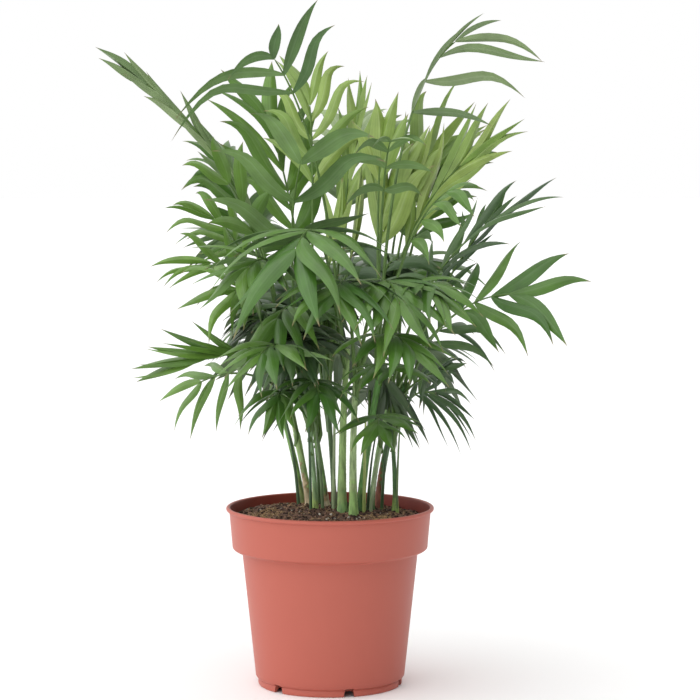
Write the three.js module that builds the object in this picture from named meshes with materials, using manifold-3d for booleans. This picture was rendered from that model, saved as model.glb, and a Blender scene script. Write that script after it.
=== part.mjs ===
import * as THREE from "three";
import { mergeVertices } from "three/addons/utils/BufferGeometryUtils.js";
import Module from "manifold-3d";

// A parlour palm in its nursery pot. Millimetres, +Z up. The origin is the middle of the pot's
// underside, and -Y is the front.

// ---------------------------------------------------------------- driving dimensions
const POT_HEIGHT = 103.5;
const LIP_RADIUS = 60; // a 12 cm pot across its lip
const LIP_HEIGHT = 2.2;
const BAND_TOP_RADIUS = 58.2;
const BAND_FOOT_RADIUS = 56.4;
const BAND_HEIGHT = 23.5; // the wide collar below the lip
const SHELF_RADIUS = 51;
const SHELF_DROP = 3;
const BODY_FOOT_RADIUS = 43.2;
const FOOT_RADIUS = 41.7;
const FOOT_HEIGHT = 3.8;
const WALL = 1.2;
const FLOOR_UNDERSIDE = 2.4;
const FLOOR_TOP = 4;
const PAD_RADIUS = 12; // the floor's centre comes down to the ground
const POT_SEGMENTS = 48;

const NOTCH_COUNT = 6;
const NOTCH_FIRST_DEG = 15; // from the front, towards +X
const NOTCH_FOOT_WIDTH = 5.8;
const NOTCH_TOP_WIDTH = 3.8;
const NOTCH_HEIGHT = 4.9;

const SOIL_LEVEL = 100;
const GAP = 0.3; // clearance between neighbours that touch
const TOUCH = 0.006; // cubic millimetres that a leaflet may share with the rib it grows out of
const SEATED_GAP = 0.345; // what is left between a petiole and its stem
const SEATING_ROUNDS = 4;
const SEATING_REACH = 5;

const STEM_SIDES = 7;
const STEM_RINGS = 6;
const STEM_FLARE = 0.35;
const FLARE_HEIGHT = 5;

const PETIOLE_RADIUS = 1.15;
const RIB_TIP_RADIUS = 0.55;
const PETIOLE_RINGS = 4;

const LEAF_THICKNESS = 0.011; // of the leaflet's length
const LEAF_THINNEST = 0.6;
const SHORT_LEAF = 40; // a leaflet up to this long has one bend, a longer one has two
const SHORT_SECTIONS = [[0.42, 1]]; // share of the leaflet's length, share of its full width
const LONG_SECTIONS = [[0.3, 0.96], [0.68, 0.78]];
const LEAF_ROOT = 2.4; // length of rib that a leaflet's root takes

// ---------------------------------------------------------------- stems
// name, foot [x, y], bow and top [x, y, z], radius at foot and top
const STEMS = [
  ["stem_back_left", [-17, 45], [-20, 46, 128], [-35, 52, 172], 2.0, 1.2],
  ["stem_left", [-12, 14], [-15, 15, 128], [-29, 16, 184], 2.2, 1.3],
  ["stem_left_slim", [-8.5, 5], [-9, 2, 130], [-14, -3, 168], 1.6, 1.0],
  ["stem_pale_foot", [-2, 15], [-5, 16, 128], [-15, 22, 178], 1.9, 1.2],
  ["stem_rear", [2.5, 28], [1, 30, 140], [-4, 38, 185], 1.8, 1.1],
  ["stem_front_left", [7, -9], [6.5, -9, 150], [10, -11, 196], 2.6, 1.4],
  ["stem_front_right", [13.5, -17.5], [12, -19, 150], [16, -24, 192], 2.4, 1.3],
  ["stem_middle_right", [17.5, -1], [19, -1, 130], [31, 2, 192], 2.6, 1.4],
  ["stem_right", [24, 14], [26, 15, 130], [37, 19, 170], 2.0, 1.2],
  ["stem_brown", [28.5, 26], [30, 28, 130], [45, 36, 172], 2.4, 1.3],
  ["stem_far_right", [38, 10], [38, 10, 120], [36, 12, 144], 1.6, 1.0],
];

// ---------------------------------------------------------------- fronds
// name, stem, share of the stem's height where it leaves, bow [x, y, z], tip [x, y, z],
// bare share of the rib, pairs of leaflets, leaflet length, leaflet width, opening from the rib at
// the first and the last pair, lift out of the blade's plane, roll (degrees), droop, taper of the
// leaflets' length from the first pair to the last
const FRONDS = [
  ["top_centre", 5, 1, [-2, -14, 318], [-32, -22, 361], 0.8, 3, 92, 6.8, 56, 42, 0, 75, 0.45, 0.58],
  ["top_left", 1, 1, [-34, 8, 292], [-106, -2, 347], 0.42, 6, 46, 6.5, 3, 0, 0, -80, 0.0, 0.1],
  ["top_right", 7, 1, [34, 0, 345], [73, 8, 371], 0.6, 4, 52, 6, 60, 22, 40, 130, 0.1, -0.1],
  ["back_bright", 9, 0.97, [26, 46, 262], [54, 62, 290], 0.74, 4, 76, 11, 30, 12, 0, 80, 0.04, 0.1],
  ["back_centre", 4, 0.97, [8, 46, 272], [14, 58, 312], 0.58, 4, 50, 7.5, 20, 6, 0, 0, 0.02, 0],
  ["back_left_top", 3, 1, [-8, 44, 290], [-12, 62, 336], 0.6, 5, 50, 7.5, 42, 22, 0, 0, 0.06, 0.1],
  ["back_left_wide", 3, 0.93, [-16, 46, 262], [-34, 62, 318], 0.55, 6, 64, 9, 40, 20, 0, 0, 0.08, 0.1],
  ["left_high", 1, 0.9, [-34, 0, 256], [-58, -14, 291], 0.65, 3, 44, 10, 46, 30, 0, -80, 0.06, 0.1],
  ["front_star", 5, 0.93, [-4, -30, 294], [-19, -74, 254], 0.5, 6, 60, 10, 76, 34, 0, 0, 0.34, 0.2],
  ["front_upper", 3, 0.97, [-28, -10, 258], [-16, -38, 303], 0.55, 3, 62, 10.5, 56, 40, 0, 0, 0.1, 0.1],
  ["front_left", 2, 1, [-22, -30, 268], [-46, -62, 244], 0.5, 5, 46, 8, 66, 24, 0, -15, 0.36, 0.2],
  ["front_right_middle", 6, 1, [28, -44, 258], [37, -80, 228], 0.5, 6, 44, 8.5, 70, 30, 0, 0, 0.34, 0.2],
  ["front_low", 6, 0.9, [10, -50, 256], [4, -84, 232], 0.5, 6, 42, 8, 70, 30, 0, 0, 0.36, 0.2],
  ["right_upper_light", 7, 0.95, [36, 28, 264], [78, 44, 300], 0.5, 5, 64, 7.5, 20, 8, 0, 55, 0.04, 0.1],
  ["right_upper_front", 7, 0.98, [40, -14, 268], [66, -34, 286], 0.55, 4, 30, 6.5, 74, 40, -20, 40, 0.4, 0.1],
  ["right_high_dark", 8, 1, [50, 10, 240], [94, 6, 268], 0.42, 4, 52, 5.5, 34, 12, 0, 40, 0.2, 0],
  ["right_far", 8, 0.96, [66, 0, 226], [104, -14, 227], 0.58, 4, 50, 8.6, 50, 22, 0, 50, 0.12, -0.12],
  ["right_middle_dark", 9, 1, [60, 28, 226], [92, 34, 266], 0.5, 4, 36, 5.4, 25, 14, 0, 50, 0.04, 0.2],
  ["right_low_arch", 9, 0.9, [60, 36, 206], [70, 44, 204], 0.5, 3, 44, 5, 56, 24, 0, 50, 0.4, 0.2],
  ["low_right_fan", 10, 1, [44, 14, 174], [62, 22, 166], 0.6, 5, 33, 3.8, 70, 10, 0, 70, 0.4, 0],
  ["low_right_second", 8, 0.85, [50, -8, 180], [62, -22, 184], 0.5, 5, 28, 4.2, 62, 20, 0, 40, 0.24, 0.2],
  ["low_front_right", 8, 0.6, [26, -20, 168], [27, -52, 156], 0.55, 5, 27, 7, 80, 30, 0, 0, 0.36, 0.2],
  ["low_front_leaf", 6, 0.8, [24, -40, 196], [35, -58, 189], 0.6, 4, 31, 6.5, 86, 50, 0, 0, 0.3, 0.2],
  ["left_middle_high", 0, 1, [-46, 44, 256], [-68, 34, 268], 0.55, 4, 42, 5.5, 52, 14, 0, -60, 0.2, 0.1],
  ["left_middle", 1, 0.82, [-42, 22, 240], [-70, 8, 244], 0.5, 4, 46, 5.4, 52, 14, 0, -60, 0.2, 0.1],
  ["left_middle_low", 1, 0.8, [-34, -12, 236], [-54, -32, 230], 0.5, 4, 44, 7, 70, 24, 0, -40, 0.34, 0.1],
  ["low_left", 2, 0.95, [-42, -24, 204], [-76, -28, 190], 0.5, 5, 44, 6.2, 26, 10, 14, -40, 0.03, 0],
  ["low_left_droop", 2, 0.88, [-44, 0, 192], [-76, -6, 175], 0.6, 4, 27, 5.5, 84, 20, -35, -60, 0.12, -0.1],
  ["low_left_centre", 1, 0.6, [-26, -10, 184], [-30, -38, 168], 0.5, 5, 29, 6.5, 76, 20, 0, 0, 0.5, 0.2],
  ["low_centre_front", 3, 0.7, [-10, -18, 192], [-6, -56, 174], 0.5, 5, 31, 7, 76, 24, 0, 0, 0.5, 0.2],
  ["back_low_left", 0, 0.84, [-32, 82, 212], [-44, 102, 184], 0.45, 6, 42, 7.5, 64, 24, 0, 0, 0.44, 0.2],
  ["back_middle_left", 0, 0.96, [-40, 76, 276], [-60, 104, 254], 0.5, 7, 46, 8, 60, 24, 0, 0, 0.3, 0.2],
  ["back_middle", 4, 0.95, [-2, 78, 268], [-8, 112, 232], 0.45, 7, 50, 9, 64, 26, 0, 0, 0.34, 0.2],
  ["back_low", 4, 0.82, [6, 72, 214], [9, 98, 182], 0.45, 6, 42, 8, 64, 24, 0, 0, 0.5, 0.2],
  ["back_middle_right", 9, 0.9, [42, 78, 268], [60, 104, 236], 0.45, 7, 48, 9, 62, 26, 0, 0, 0.34, 0.2],
  ["back_low_right", 9, 0.8, [50, 66, 210], [62, 86, 180], 0.45, 6, 40, 8, 62, 24, 0, 0, 0.46, 0.2],
  ["back_high", 4, 0.9, [14, 66, 300], [16, 104, 322], 0.5, 7, 50, 8, 54, 24, 0, 0, 0.2, 0.2],
  ["right_back_high", 8, 0.95, [46, 52, 276], [74, 84, 304], 0.5, 7, 44, 8, 54, 24, 0, 0, 0.2, 0.2],
  ["left_back_high", 0, 0.86, [-46, 58, 284], [-64, 80, 302], 0.5, 7, 44, 8, 54, 24, 0, 0, 0.2, 0.2],
  ["front_left_low", 2, 0.85, [-22, -46, 216], [-38, -76, 198], 0.5, 5, 38, 8, 70, 24, 0, 0, 0.36, 0.2],
  ["front_right_low", 6, 0.85, [26, -52, 220], [42, -82, 204], 0.5, 5, 38, 8, 70, 24, 0, 0, 0.36, 0.2],
  ["front_high", 7, 0.9, [29, -8, 300], [34, -30, 314], 0.6, 4, 26, 6, 80, 34, 0, 0, 0.4, 0.1],
  ["centre_left", 3, 0.88, [-18, -10, 240], [-30, -44, 214], 0.45, 5, 42, 8, 66, 24, 0, 0, 0.4, 0.2],
  ["right_front", 6, 0.95, [40, -42, 250], [58, -62, 232], 0.5, 6, 40, 7.5, 64, 20, 0, 10, 0.28, 0.2],
  ["back_inner", 4, 0.88, [-15, 52, 244], [-30, 76, 218], 0.45, 5, 42, 8, 64, 24, 0, 0, 0.36, 0.2],
  ["low_back_left", 4, 0.6, [-8, 48, 186], [-18, 70, 162], 0.5, 5, 34, 7.5, 70, 30, 0, 0, 0.46, 0.2],
  ["low_back_right", 7, 0.6, [24, 30, 182], [22, 60, 162], 0.5, 5, 34, 7.5, 70, 30, 0, 0, 0.46, 0.2],
];

const SHADES = ["#4f7f37", "#5a8c3e", "#66984a", "#3f6e33", "#7ba94f", "#598a45"];

// ---------------------------------------------------------------- tools
const wasm = await Module();
wasm.setup();

const rad = THREE.MathUtils.degToRad;
const vec = (x, y, z) => new THREE.Vector3(x, y, z);
const UP = vec(0, 0, 1);

function toSolid(geometry) {
  const bare = geometry.clone();
  bare.deleteAttribute("normal");
  bare.deleteAttribute("uv");
  const merged = mergeVertices(bare.index ? bare.toNonIndexed() : bare, 1e-4);
  const vertProperties = new Float32Array(merged.attributes.position.array);
  const triVerts = new Uint32Array(merged.index.array);
  return new wasm.Manifold(new wasm.Mesh({ numProp: 3, vertProperties, triVerts }));
}

function toGeometry(solid) {
  const mesh = solid.getMesh();
  const geometry = new THREE.BufferGeometry();
  geometry.setAttribute("position", new THREE.BufferAttribute(new Float32Array(mesh.vertProperties), 3));
  geometry.setIndex(new THREE.BufferAttribute(new Uint32Array(mesh.triVerts), 1));
  geometry.computeVertexNormals();
  return geometry;
}

// the walls between rings of equally many points, each ring running anticlockwise seen from its far
// end; a last ring of one point closes to that point
function walls(rings) {
  const positions = [];
  for (let i = 1; i < rings.length; i++) {
    const [low, high] = [rings[i - 1], rings[i]];
    for (let k = 0; k < low.length; k++) {
      const n = (k + 1) % low.length;
      if (high.length === 1) {
        positions.push(...low[k], ...low[n], ...high[0]);
      } else {
        positions.push(...low[k], ...low[n], ...high[n]);
        positions.push(...low[k], ...high[n], ...high[k]);
      }
    }
  }
  return positions;
}

// a closed skin: the walls and a flat foot under the first ring
function skin(rings) {
  const positions = walls(rings);
  for (let k = 1; k < rings[0].length - 1; k++) {
    positions.push(...rings[0][0], ...rings[0][k + 1], ...rings[0][k]);
  }
  const geometry = new THREE.BufferGeometry();
  geometry.setAttribute("position", new THREE.Float32BufferAttribute(positions, 3));
  return geometry;
}

// turns (degrees) and shares of its length that a crowded leaflet is tried with, in this order
const TRIES = [[0, 1], [9, 1], [-9, 1], [18, 0.95], [-18, 0.95], [27, 0.85], [-27, 0.85], [0, 0.65]];

// a repeatable run of numbers between -1 and 1
function scatter(seed) {
  let state = seed;
  return () => {
    state = (state * 16807) % 2147483647;
    return (state / 2147483647) * 2 - 1;
  };
}

function boxesNear(a, b, reach) {
  for (let k = 0; k < 3; k++) {
    if (a.min[k] > b.max[k] + reach || b.min[k] > a.max[k] + reach) {
      return false;
    }
  }
  return true;
}

function isClear(solid, others) {
  const box = solid.boundingBox();
  for (const other of others) {
    if (boxesNear(box, other.box, GAP) && solid.minGap(other.solid, 2 * GAP) < GAP) {
      return false;
    }
  }
  return true;
}

function staysOut(solid, touching) {
  return touching.every((other) => solid.intersect(other.solid).volume() < TOUCH);
}

const withBox = (solid) => ({ solid, box: solid.boundingBox() });

// ---------------------------------------------------------------- pot and soil
function potProfile() {
  const shelf = POT_HEIGHT - LIP_HEIGHT - BAND_HEIGHT;
  return [
    [0, 0],
    [PAD_RADIUS, 0],
    [PAD_RADIUS + 2, FLOOR_UNDERSIDE],
    [FOOT_RADIUS - WALL - 1.4, FLOOR_UNDERSIDE],
    [FOOT_RADIUS - WALL, 0],
    [FOOT_RADIUS, 0],
    [FOOT_RADIUS, FOOT_HEIGHT],
    [BODY_FOOT_RADIUS - 0.4, FOOT_HEIGHT + 0.5],
    [BODY_FOOT_RADIUS, FOOT_HEIGHT + 1.6],
    [SHELF_RADIUS, shelf],
    [BAND_FOOT_RADIUS - 0.8, shelf + SHELF_DROP * 0.4],
    [BAND_FOOT_RADIUS, shelf + SHELF_DROP],
    [BAND_TOP_RADIUS, POT_HEIGHT - LIP_HEIGHT],
    [LIP_RADIUS, POT_HEIGHT - LIP_HEIGHT + 0.4],
    [LIP_RADIUS, POT_HEIGHT - 0.5],
    [LIP_RADIUS - 0.5, POT_HEIGHT],
    [BAND_TOP_RADIUS - WALL, POT_HEIGHT],
    [BAND_FOOT_RADIUS - WALL, shelf + SHELF_DROP + 0.6],
    [SHELF_RADIUS - WALL, shelf + 1.4],
    [FOOT_RADIUS - WALL + 0.9, FLOOR_TOP],
    [0, FLOOR_TOP],
  ];
}

function lathe(profile, segments) {
  const points = profile.map(([r, z]) => new THREE.Vector2(r, z));
  const geometry = new THREE.LatheGeometry(points, segments);
  geometry.rotateX(Math.PI / 2);
  return geometry;
}

function notchCutter(angle) {
  const shape = new THREE.Shape([
    new THREE.Vector2(-NOTCH_FOOT_WIDTH / 2, -1),
    new THREE.Vector2(NOTCH_FOOT_WIDTH / 2, -1),
    new THREE.Vector2(NOTCH_TOP_WIDTH / 2, NOTCH_HEIGHT),
    new THREE.Vector2(-NOTCH_TOP_WIDTH / 2, NOTCH_HEIGHT),
  ]);
  const cutter = new THREE.ExtrudeGeometry(shape, { depth: 8, bevelEnabled: false });
  cutter.rotateX(Math.PI / 2);
  cutter.translate(0, -(FOOT_RADIUS - 4.5), 0);
  cutter.rotateZ(angle);
  return cutter;
}

function buildPot() {
  let pot = toSolid(lathe(potProfile(), POT_SEGMENTS));
  for (let k = 0; k < NOTCH_COUNT; k++) {
    const angle = rad(NOTCH_FIRST_DEG + (360 / NOTCH_COUNT) * k);
    pot = pot.subtract(toSolid(notchCutter(angle)));
  }
  return pot;
}

function buildSoil() {
  const shelf = POT_HEIGHT - LIP_HEIGHT - BAND_HEIGHT;
  const shrink = WALL + 1.2 * GAP;
  const rise = (SOIL_LEVEL - shelf) / (POT_HEIGHT - shelf);
  const rim = THREE.MathUtils.lerp(BAND_FOOT_RADIUS, BAND_TOP_RADIUS, rise) - shrink - 0.4;
  return toSolid(lathe([
    [0, FLOOR_TOP + GAP],
    [FOOT_RADIUS - shrink, FLOOR_TOP + GAP],
    [SHELF_RADIUS - shrink, shelf + 1.4 + 1.6 * GAP],
    [BAND_FOOT_RADIUS - shrink - 0.2, shelf + SHELF_DROP + 0.6 + 1.6 * GAP],
    [rim, SOIL_LEVEL - 1.2],
    [rim - 2.5, SOIL_LEVEL],
    [0, SOIL_LEVEL],
  ], POT_SEGMENTS));
}

// ---------------------------------------------------------------- stems
function stemCurve([, foot, bow, top]) {
  return new THREE.QuadraticBezierCurve3(
    vec(foot[0], foot[1], SOIL_LEVEL + GAP), vec(...bow), vec(...top));
}

function stemRadius(stem, t) {
  const height = t * (stem[3][2] - SOIL_LEVEL);
  const flare = 1 + STEM_FLARE * Math.exp(-height / FLARE_HEIGHT);
  return THREE.MathUtils.lerp(stem[4], stem[5], t) * flare;
}

function ring(centre, along, radius, sides) {
  const a = vec(1, 0, 0).addScaledVector(along, -along.x).normalize();
  const b = along.clone().cross(a);
  return Array.from({ length: sides }, (_, k) => {
    const angle = (2 * Math.PI * k) / sides;
    return centre.clone()
      .addScaledVector(a, radius * Math.cos(angle))
      .addScaledVector(b, radius * Math.sin(angle))
      .toArray();
  });
}

function buildStem(stem) {
  const curve = stemCurve(stem);
  const rings = [];
  for (let i = 0; i <= STEM_RINGS; i++) {
    const t = (i / STEM_RINGS) ** 1.4;
    const along = i === 0 ? UP : curve.getTangent(t);
    rings.push(ring(curve.getPoint(t), along, stemRadius(stem, t), STEM_SIDES));
  }
  const tip = curve.getPoint(1).addScaledVector(curve.getTangent(1), 2.5);
  rings.push([tip.toArray()]);
  return toSolid(skin(rings));
}

// ---------------------------------------------------------------- fronds
// how far each petiole's start stands off its stem's axis, once it has been seated
const seats = new Map();

function ribCurve([name, stemIndex, share, bow, tip]) {
  const stem = STEMS[stemIndex];
  const curve = stemCurve(stem);
  const on = curve.getPoint(share);
  const along = curve.getTangent(share);
  const away = vec(...bow).sub(on);
  away.addScaledVector(along, -away.dot(along)).normalize();
  const reach = seats.get(name) ?? stemRadius(stem, share) + PETIOLE_RADIUS + GAP;
  const start = on.addScaledVector(away, reach);
  return new THREE.QuadraticBezierCurve3(start, vec(...bow), vec(...tip));
}

// the rib's point, its direction, and the blade's sideways and upward directions there
function ribFrame(curve, u, roll) {
  const point = curve.getPoint(u);
  const along = curve.getTangent(u);
  const heading = curve.v2.clone().sub(curve.v0).setZ(0).normalize();
  const side = heading.clone().cross(UP);
  side.addScaledVector(along, -side.dot(along)).normalize();
  side.applyAxisAngle(along, rad(roll));
  const over = side.clone().cross(along);
  return { point, along, side, over };
}

const ribRadius = (u) => THREE.MathUtils.lerp(PETIOLE_RADIUS, RIB_TIP_RADIUS, u ** 0.8);

// the stations of the rib: a few up the bare petiole, then one each side of every pair's roots
function ribStations(frond) {
  const [, , , , , bare, pairs] = frond;
  const length = ribCurve(frond).getLength();
  const root = LEAF_ROOT / length;
  const stations = [];
  for (let i = 0; i < PETIOLE_RINGS; i++) {
    stations.push((bare * i) / PETIOLE_RINGS);
  }
  for (let k = 0; k < pairs; k++) {
    const u = bare + ((1 - root - bare) * k) / (pairs - 1);
    stations.push(u, u + root);
  }
  return stations;
}

// three-cornered rings of the rib: crest, left corner and right corner
function ribRings(frond) {
  const curve = ribCurve(frond);
  return ribStations(frond).map((u) => {
    const { point, side, over } = ribFrame(curve, u, frond[12]);
    const radius = ribRadius(u);
    return [0, 120, 240].map((angle) => point.clone()
      .addScaledVector(over, radius * Math.cos(rad(angle)))
      .addScaledVector(side, -radius * Math.sin(rad(angle))));
  });
}

// the faces of a rib with its leaflets: each leaflet grows out of one triangle of the rib's flank
function frondSkin(frond, leaflets) {
  const rings = ribRings(frond);
  const curve = ribCurve(frond);
  const end = curve.getPoint(1).addScaledVector(curve.getTangent(1), 1.6);
  const positions = [];
  const triangle = (...corners) => corners.forEach((c) => positions.push(c.x, c.y, c.z));
  const flank = (leaf, ...corners) => {
    if (leaf) {
      positions.push(...walls(leaf.rings));
    } else {
      triangle(...corners);
    }
  };
  triangle(rings[0][0], rings[0][1], rings[0][2]);
  for (let i = 1; i < rings.length; i++) {
    const [topA, leftA, rightA] = rings[i - 1];
    const [topB, leftB, rightB] = rings[i];
    const pair = (i - 1 - PETIOLE_RINGS) / 2;
    flank(leaflets.get(`${pair} -1`), leftA, topA, leftB);
    triangle(topA, topB, leftB);
    flank(leaflets.get(`${pair} 1`), rightB, topA, rightA);
    triangle(rightB, topB, topA);
    triangle(leftA, leftB, rightB);
    triangle(leftA, rightB, rightA);
  }
  const [top, left, right] = rings[rings.length - 1];
  triangle(left, top, end);
  triangle(top, right, end);
  triangle(right, left, end);
  const geometry = new THREE.BufferGeometry();
  geometry.setAttribute("position", new THREE.Float32BufferAttribute(positions, 3));
  return geometry;
}

// fronds whose leaflets differ from one side to the other: the side, its share of the length,
// opening added (degrees) and droop added
const LOPSIDED = {
  top_centre: [-1, 0.6, -5, -0.45],
  top_left: [-1, 0.8, 9, 0.06],
  top_right: [-1, 0.68, -34, 0],
  right_far: [1, 0.84, 2, 0.14],
};

// where each leaflet of a frond roots and points
function leafletPlan(frond, index) {
  const [, , , , , , pairs, length, width, open, closing, lift, roll, droop, taper] = frond;
  const curve = ribCurve(frond);
  const stations = ribStations(frond);
  const rings = ribRings(frond);
  const random = scatter(index * 7919 + 101);
  const lopsided = LOPSIDED[frond[0]] ?? [0, 1, 0, 0];
  const plan = [];
  for (let k = 0; k < pairs; k++) {
    const place = k / (pairs - 1);
    const low = PETIOLE_RINGS + 2 * k;
    const frame = ribFrame(curve, stations[low], roll);
    const [top, leftA, rightA] = rings[low];
    const [, leftB, rightB] = rings[low + 1];
    for (const hand of [-1, 1]) {
      const [share, wider, lower] = hand === lopsided[0] ? lopsided.slice(1) : [1, 0, 0];
      const angle = rad(THREE.MathUtils.lerp(open, closing, place) + wider + 5 * random());
      const raise = rad(lift + 7 * random());
      const swell = 0.8 + 0.3 * Math.sin(Math.PI * (0.12 + 0.76 * place));
      plan.push({
        pair: k,
        hand,
        base: hand < 0 ? [leftA, top, leftB] : [rightB, top, rightA],
        root: frame.point,
        direction: frame.along.clone().multiplyScalar(Math.cos(angle))
          .addScaledVector(frame.side, hand * Math.sin(angle) * Math.cos(raise))
          .addScaledVector(frame.over, Math.sin(angle) * Math.sin(raise)),
        face: frame.over,
        size: share * length * swell * (1 - taper * place) * (1 + 0.07 * random()),
        width: width * (1 + 0.08 * random()),
        droop: droop * (1 + 0.3 * random()) + lower,
      });
    }
  }
  return plan;
}

function leafletAt(leaf, v) {
  return leaf.root.clone()
    .addScaledVector(leaf.direction, leaf.size * v)
    .addScaledVector(UP, -leaf.size * leaf.droop * v * v);
}

// a leaflet's rings: its root on the rib, then its sections with the keel on top, then its tip
function leafRings(leaf) {
  const thickness = Math.max(LEAF_THINNEST, LEAF_THICKNESS * leaf.size);
  const rings = [leaf.base];
  for (const [v, share] of leaf.size > SHORT_LEAF ? LONG_SECTIONS : SHORT_SECTIONS) {
    const centre = leafletAt(leaf, v);
    const ahead = leafletAt(leaf, v + 0.02).sub(leafletAt(leaf, v - 0.02)).normalize();
    const across = ahead.clone().cross(leaf.face).normalize();
    const over = across.clone().cross(ahead);
    rings.push([
      centre.clone().addScaledVector(across, (-leaf.width * share) / 2),
      centre.clone().addScaledVector(over, thickness),
      centre.clone().addScaledVector(across, (leaf.width * share) / 2),
    ]);
  }
  rings.push([leafletAt(leaf, 1)]);
  return rings.map((ring) => ring.map((p) => p.toArray()));
}

// the leaflet as it grows, then turned a little or shorter until it clears its neighbours and only
// touches its own rib and the leaflet opposite
function fitLeaf(leaf, others, touching) {
  for (const [turn, share] of TRIES) {
    const axis = leaf.direction.clone().cross(leaf.face).normalize();
    const turned = {
      ...leaf,
      direction: leaf.direction.clone().applyAxisAngle(axis, rad(turn)),
      size: leaf.size * share,
    };
    const rings = leafRings(turned);
    const solid = toSolid(skin(rings));
    if (isClear(solid, others) && staysOut(solid, touching)) {
      return { rings, pair: leaf.pair, ...withBox(solid) };
    }
  }
  return null;
}

// ---------------------------------------------------------------- assembly
const palm = new THREE.Group();

function addNode(name, solid, color, roughness) {
  const material = new THREE.MeshStandardMaterial({ color, roughness, metalness: 0 });
  const mesh = new THREE.Mesh(toGeometry(solid), material);
  mesh.name = name;
  palm.add(mesh);
}

const pot = buildPot();
const soil = buildSoil();
addNode("pot", pot, "#c06a58", 0.45);
addNode("soil", soil, "#3d2b1f", 0.95);

const stems = STEMS.map(buildStem);
stems.forEach((solid, index) => addNode(STEMS[index][0], solid, "#7d9a58", 0.5));
const placed = [pot, soil, ...stems].map(withBox);

// each bare rib is brought up to its stem until little more than the clearance is left
const ribs = FRONDS.map((frond) => {
  const [name, stemIndex, share] = frond;
  const bareRib = () => toSolid(frondSkin(frond, new Map()));
  let reach = stemRadius(STEMS[stemIndex], share) + PETIOLE_RADIUS + GAP;
  for (let round = 0; round < SEATING_ROUNDS; round++) {
    reach -= bareRib().minGap(stems[stemIndex], SEATING_REACH) - SEATED_GAP;
    seats.set(name, reach);
  }
  return withBox(bareRib());
});

// every leaflet is fitted between the pot, the stems, the ribs and the leaflets before it
const leaflets = FRONDS.map(() => new Map());
FRONDS.forEach((frond, index) => {
  const others = placed.concat(ribs.filter((_, k) => k !== index));
  leaflets.forEach((grown) => others.push(...grown.values()));
  const grown = leaflets[index];
  for (const leaf of leafletPlan(frond, index)) {
    const neighbours = [...grown.values()].filter((other) => other.pair !== leaf.pair);
    const opposite = [...grown.values()].filter((other) => other.pair === leaf.pair);
    const fitted = fitLeaf(leaf, others.concat(neighbours), [ribs[index], ...opposite]);
    if (fitted) {
      grown.set(`${leaf.pair} ${leaf.hand}`, fitted);
    }
  }
});
FRONDS.forEach((frond, index) => {
  const blade = toSolid(frondSkin(frond, leaflets[index]));
  addNode(`frond_${frond[0]}`, blade, SHADES[index % SHADES.length], 0.5);
});

export default palm;
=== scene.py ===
"""A parlour palm in its terracotta-coloured nursery pot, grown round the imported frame.

The pot, the potting mix, the canes and every frond are made again here with their relief, veins
and finishes. Run as a script.
"""

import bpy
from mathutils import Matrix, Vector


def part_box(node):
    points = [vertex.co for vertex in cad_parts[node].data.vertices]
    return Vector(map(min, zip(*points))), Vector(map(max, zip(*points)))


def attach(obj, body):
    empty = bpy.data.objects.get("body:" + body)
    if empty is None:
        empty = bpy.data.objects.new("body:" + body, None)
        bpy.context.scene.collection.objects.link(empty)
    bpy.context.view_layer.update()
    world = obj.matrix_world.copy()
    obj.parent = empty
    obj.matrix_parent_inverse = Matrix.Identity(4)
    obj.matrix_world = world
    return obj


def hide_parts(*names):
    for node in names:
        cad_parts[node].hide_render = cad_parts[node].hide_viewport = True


bl_info = {
    "name": "Parlour palm",
    "version": (1, 0, 0),
    "blender": (4, 5, 0),
    "location": "3D View > Sidebar > Parlour palm",
    "description": "Grows a potted parlour palm, its pot and its studio",
    "category": "Add Mesh",
}

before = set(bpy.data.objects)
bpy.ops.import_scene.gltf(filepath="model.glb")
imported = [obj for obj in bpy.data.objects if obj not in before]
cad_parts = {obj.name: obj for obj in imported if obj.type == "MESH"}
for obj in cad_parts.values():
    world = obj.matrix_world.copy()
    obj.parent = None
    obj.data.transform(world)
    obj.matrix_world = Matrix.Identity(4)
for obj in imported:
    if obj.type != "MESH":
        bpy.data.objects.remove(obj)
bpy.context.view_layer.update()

import math
from collections import namedtuple

import bpy
import numpy as np
from mathutils import Matrix, Vector, noise

MM = 0.001
UP = np.array([0.0, 0.0, 1.0])
POT_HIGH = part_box("pot")[1]
SOIL_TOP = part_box("soil")[1].z / MM

# ------------------------------------------------------------------ the pot and mix, millimetres
# the collar's height, from the lip down to the step in the wall
COLLAR = 25.7
# the drainage notches round the foot: how many, the first one's angle in degrees, how far out they
# sit, and their width, depth and height
NOTCHES, FIRST_NOTCH, NOTCH_RADIUS = 6, 15, 41
NOTCH_SIZE = (7.2, 9, 7)
# how far out the mix touches the wall, and how far out crumbs and fibres lie on it
MIX_RIM, MIX_REACH = 55.6, 54
# the solids of canes and stalks end this far clear of what they grow out of
CLEARANCE = 0.3

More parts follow.
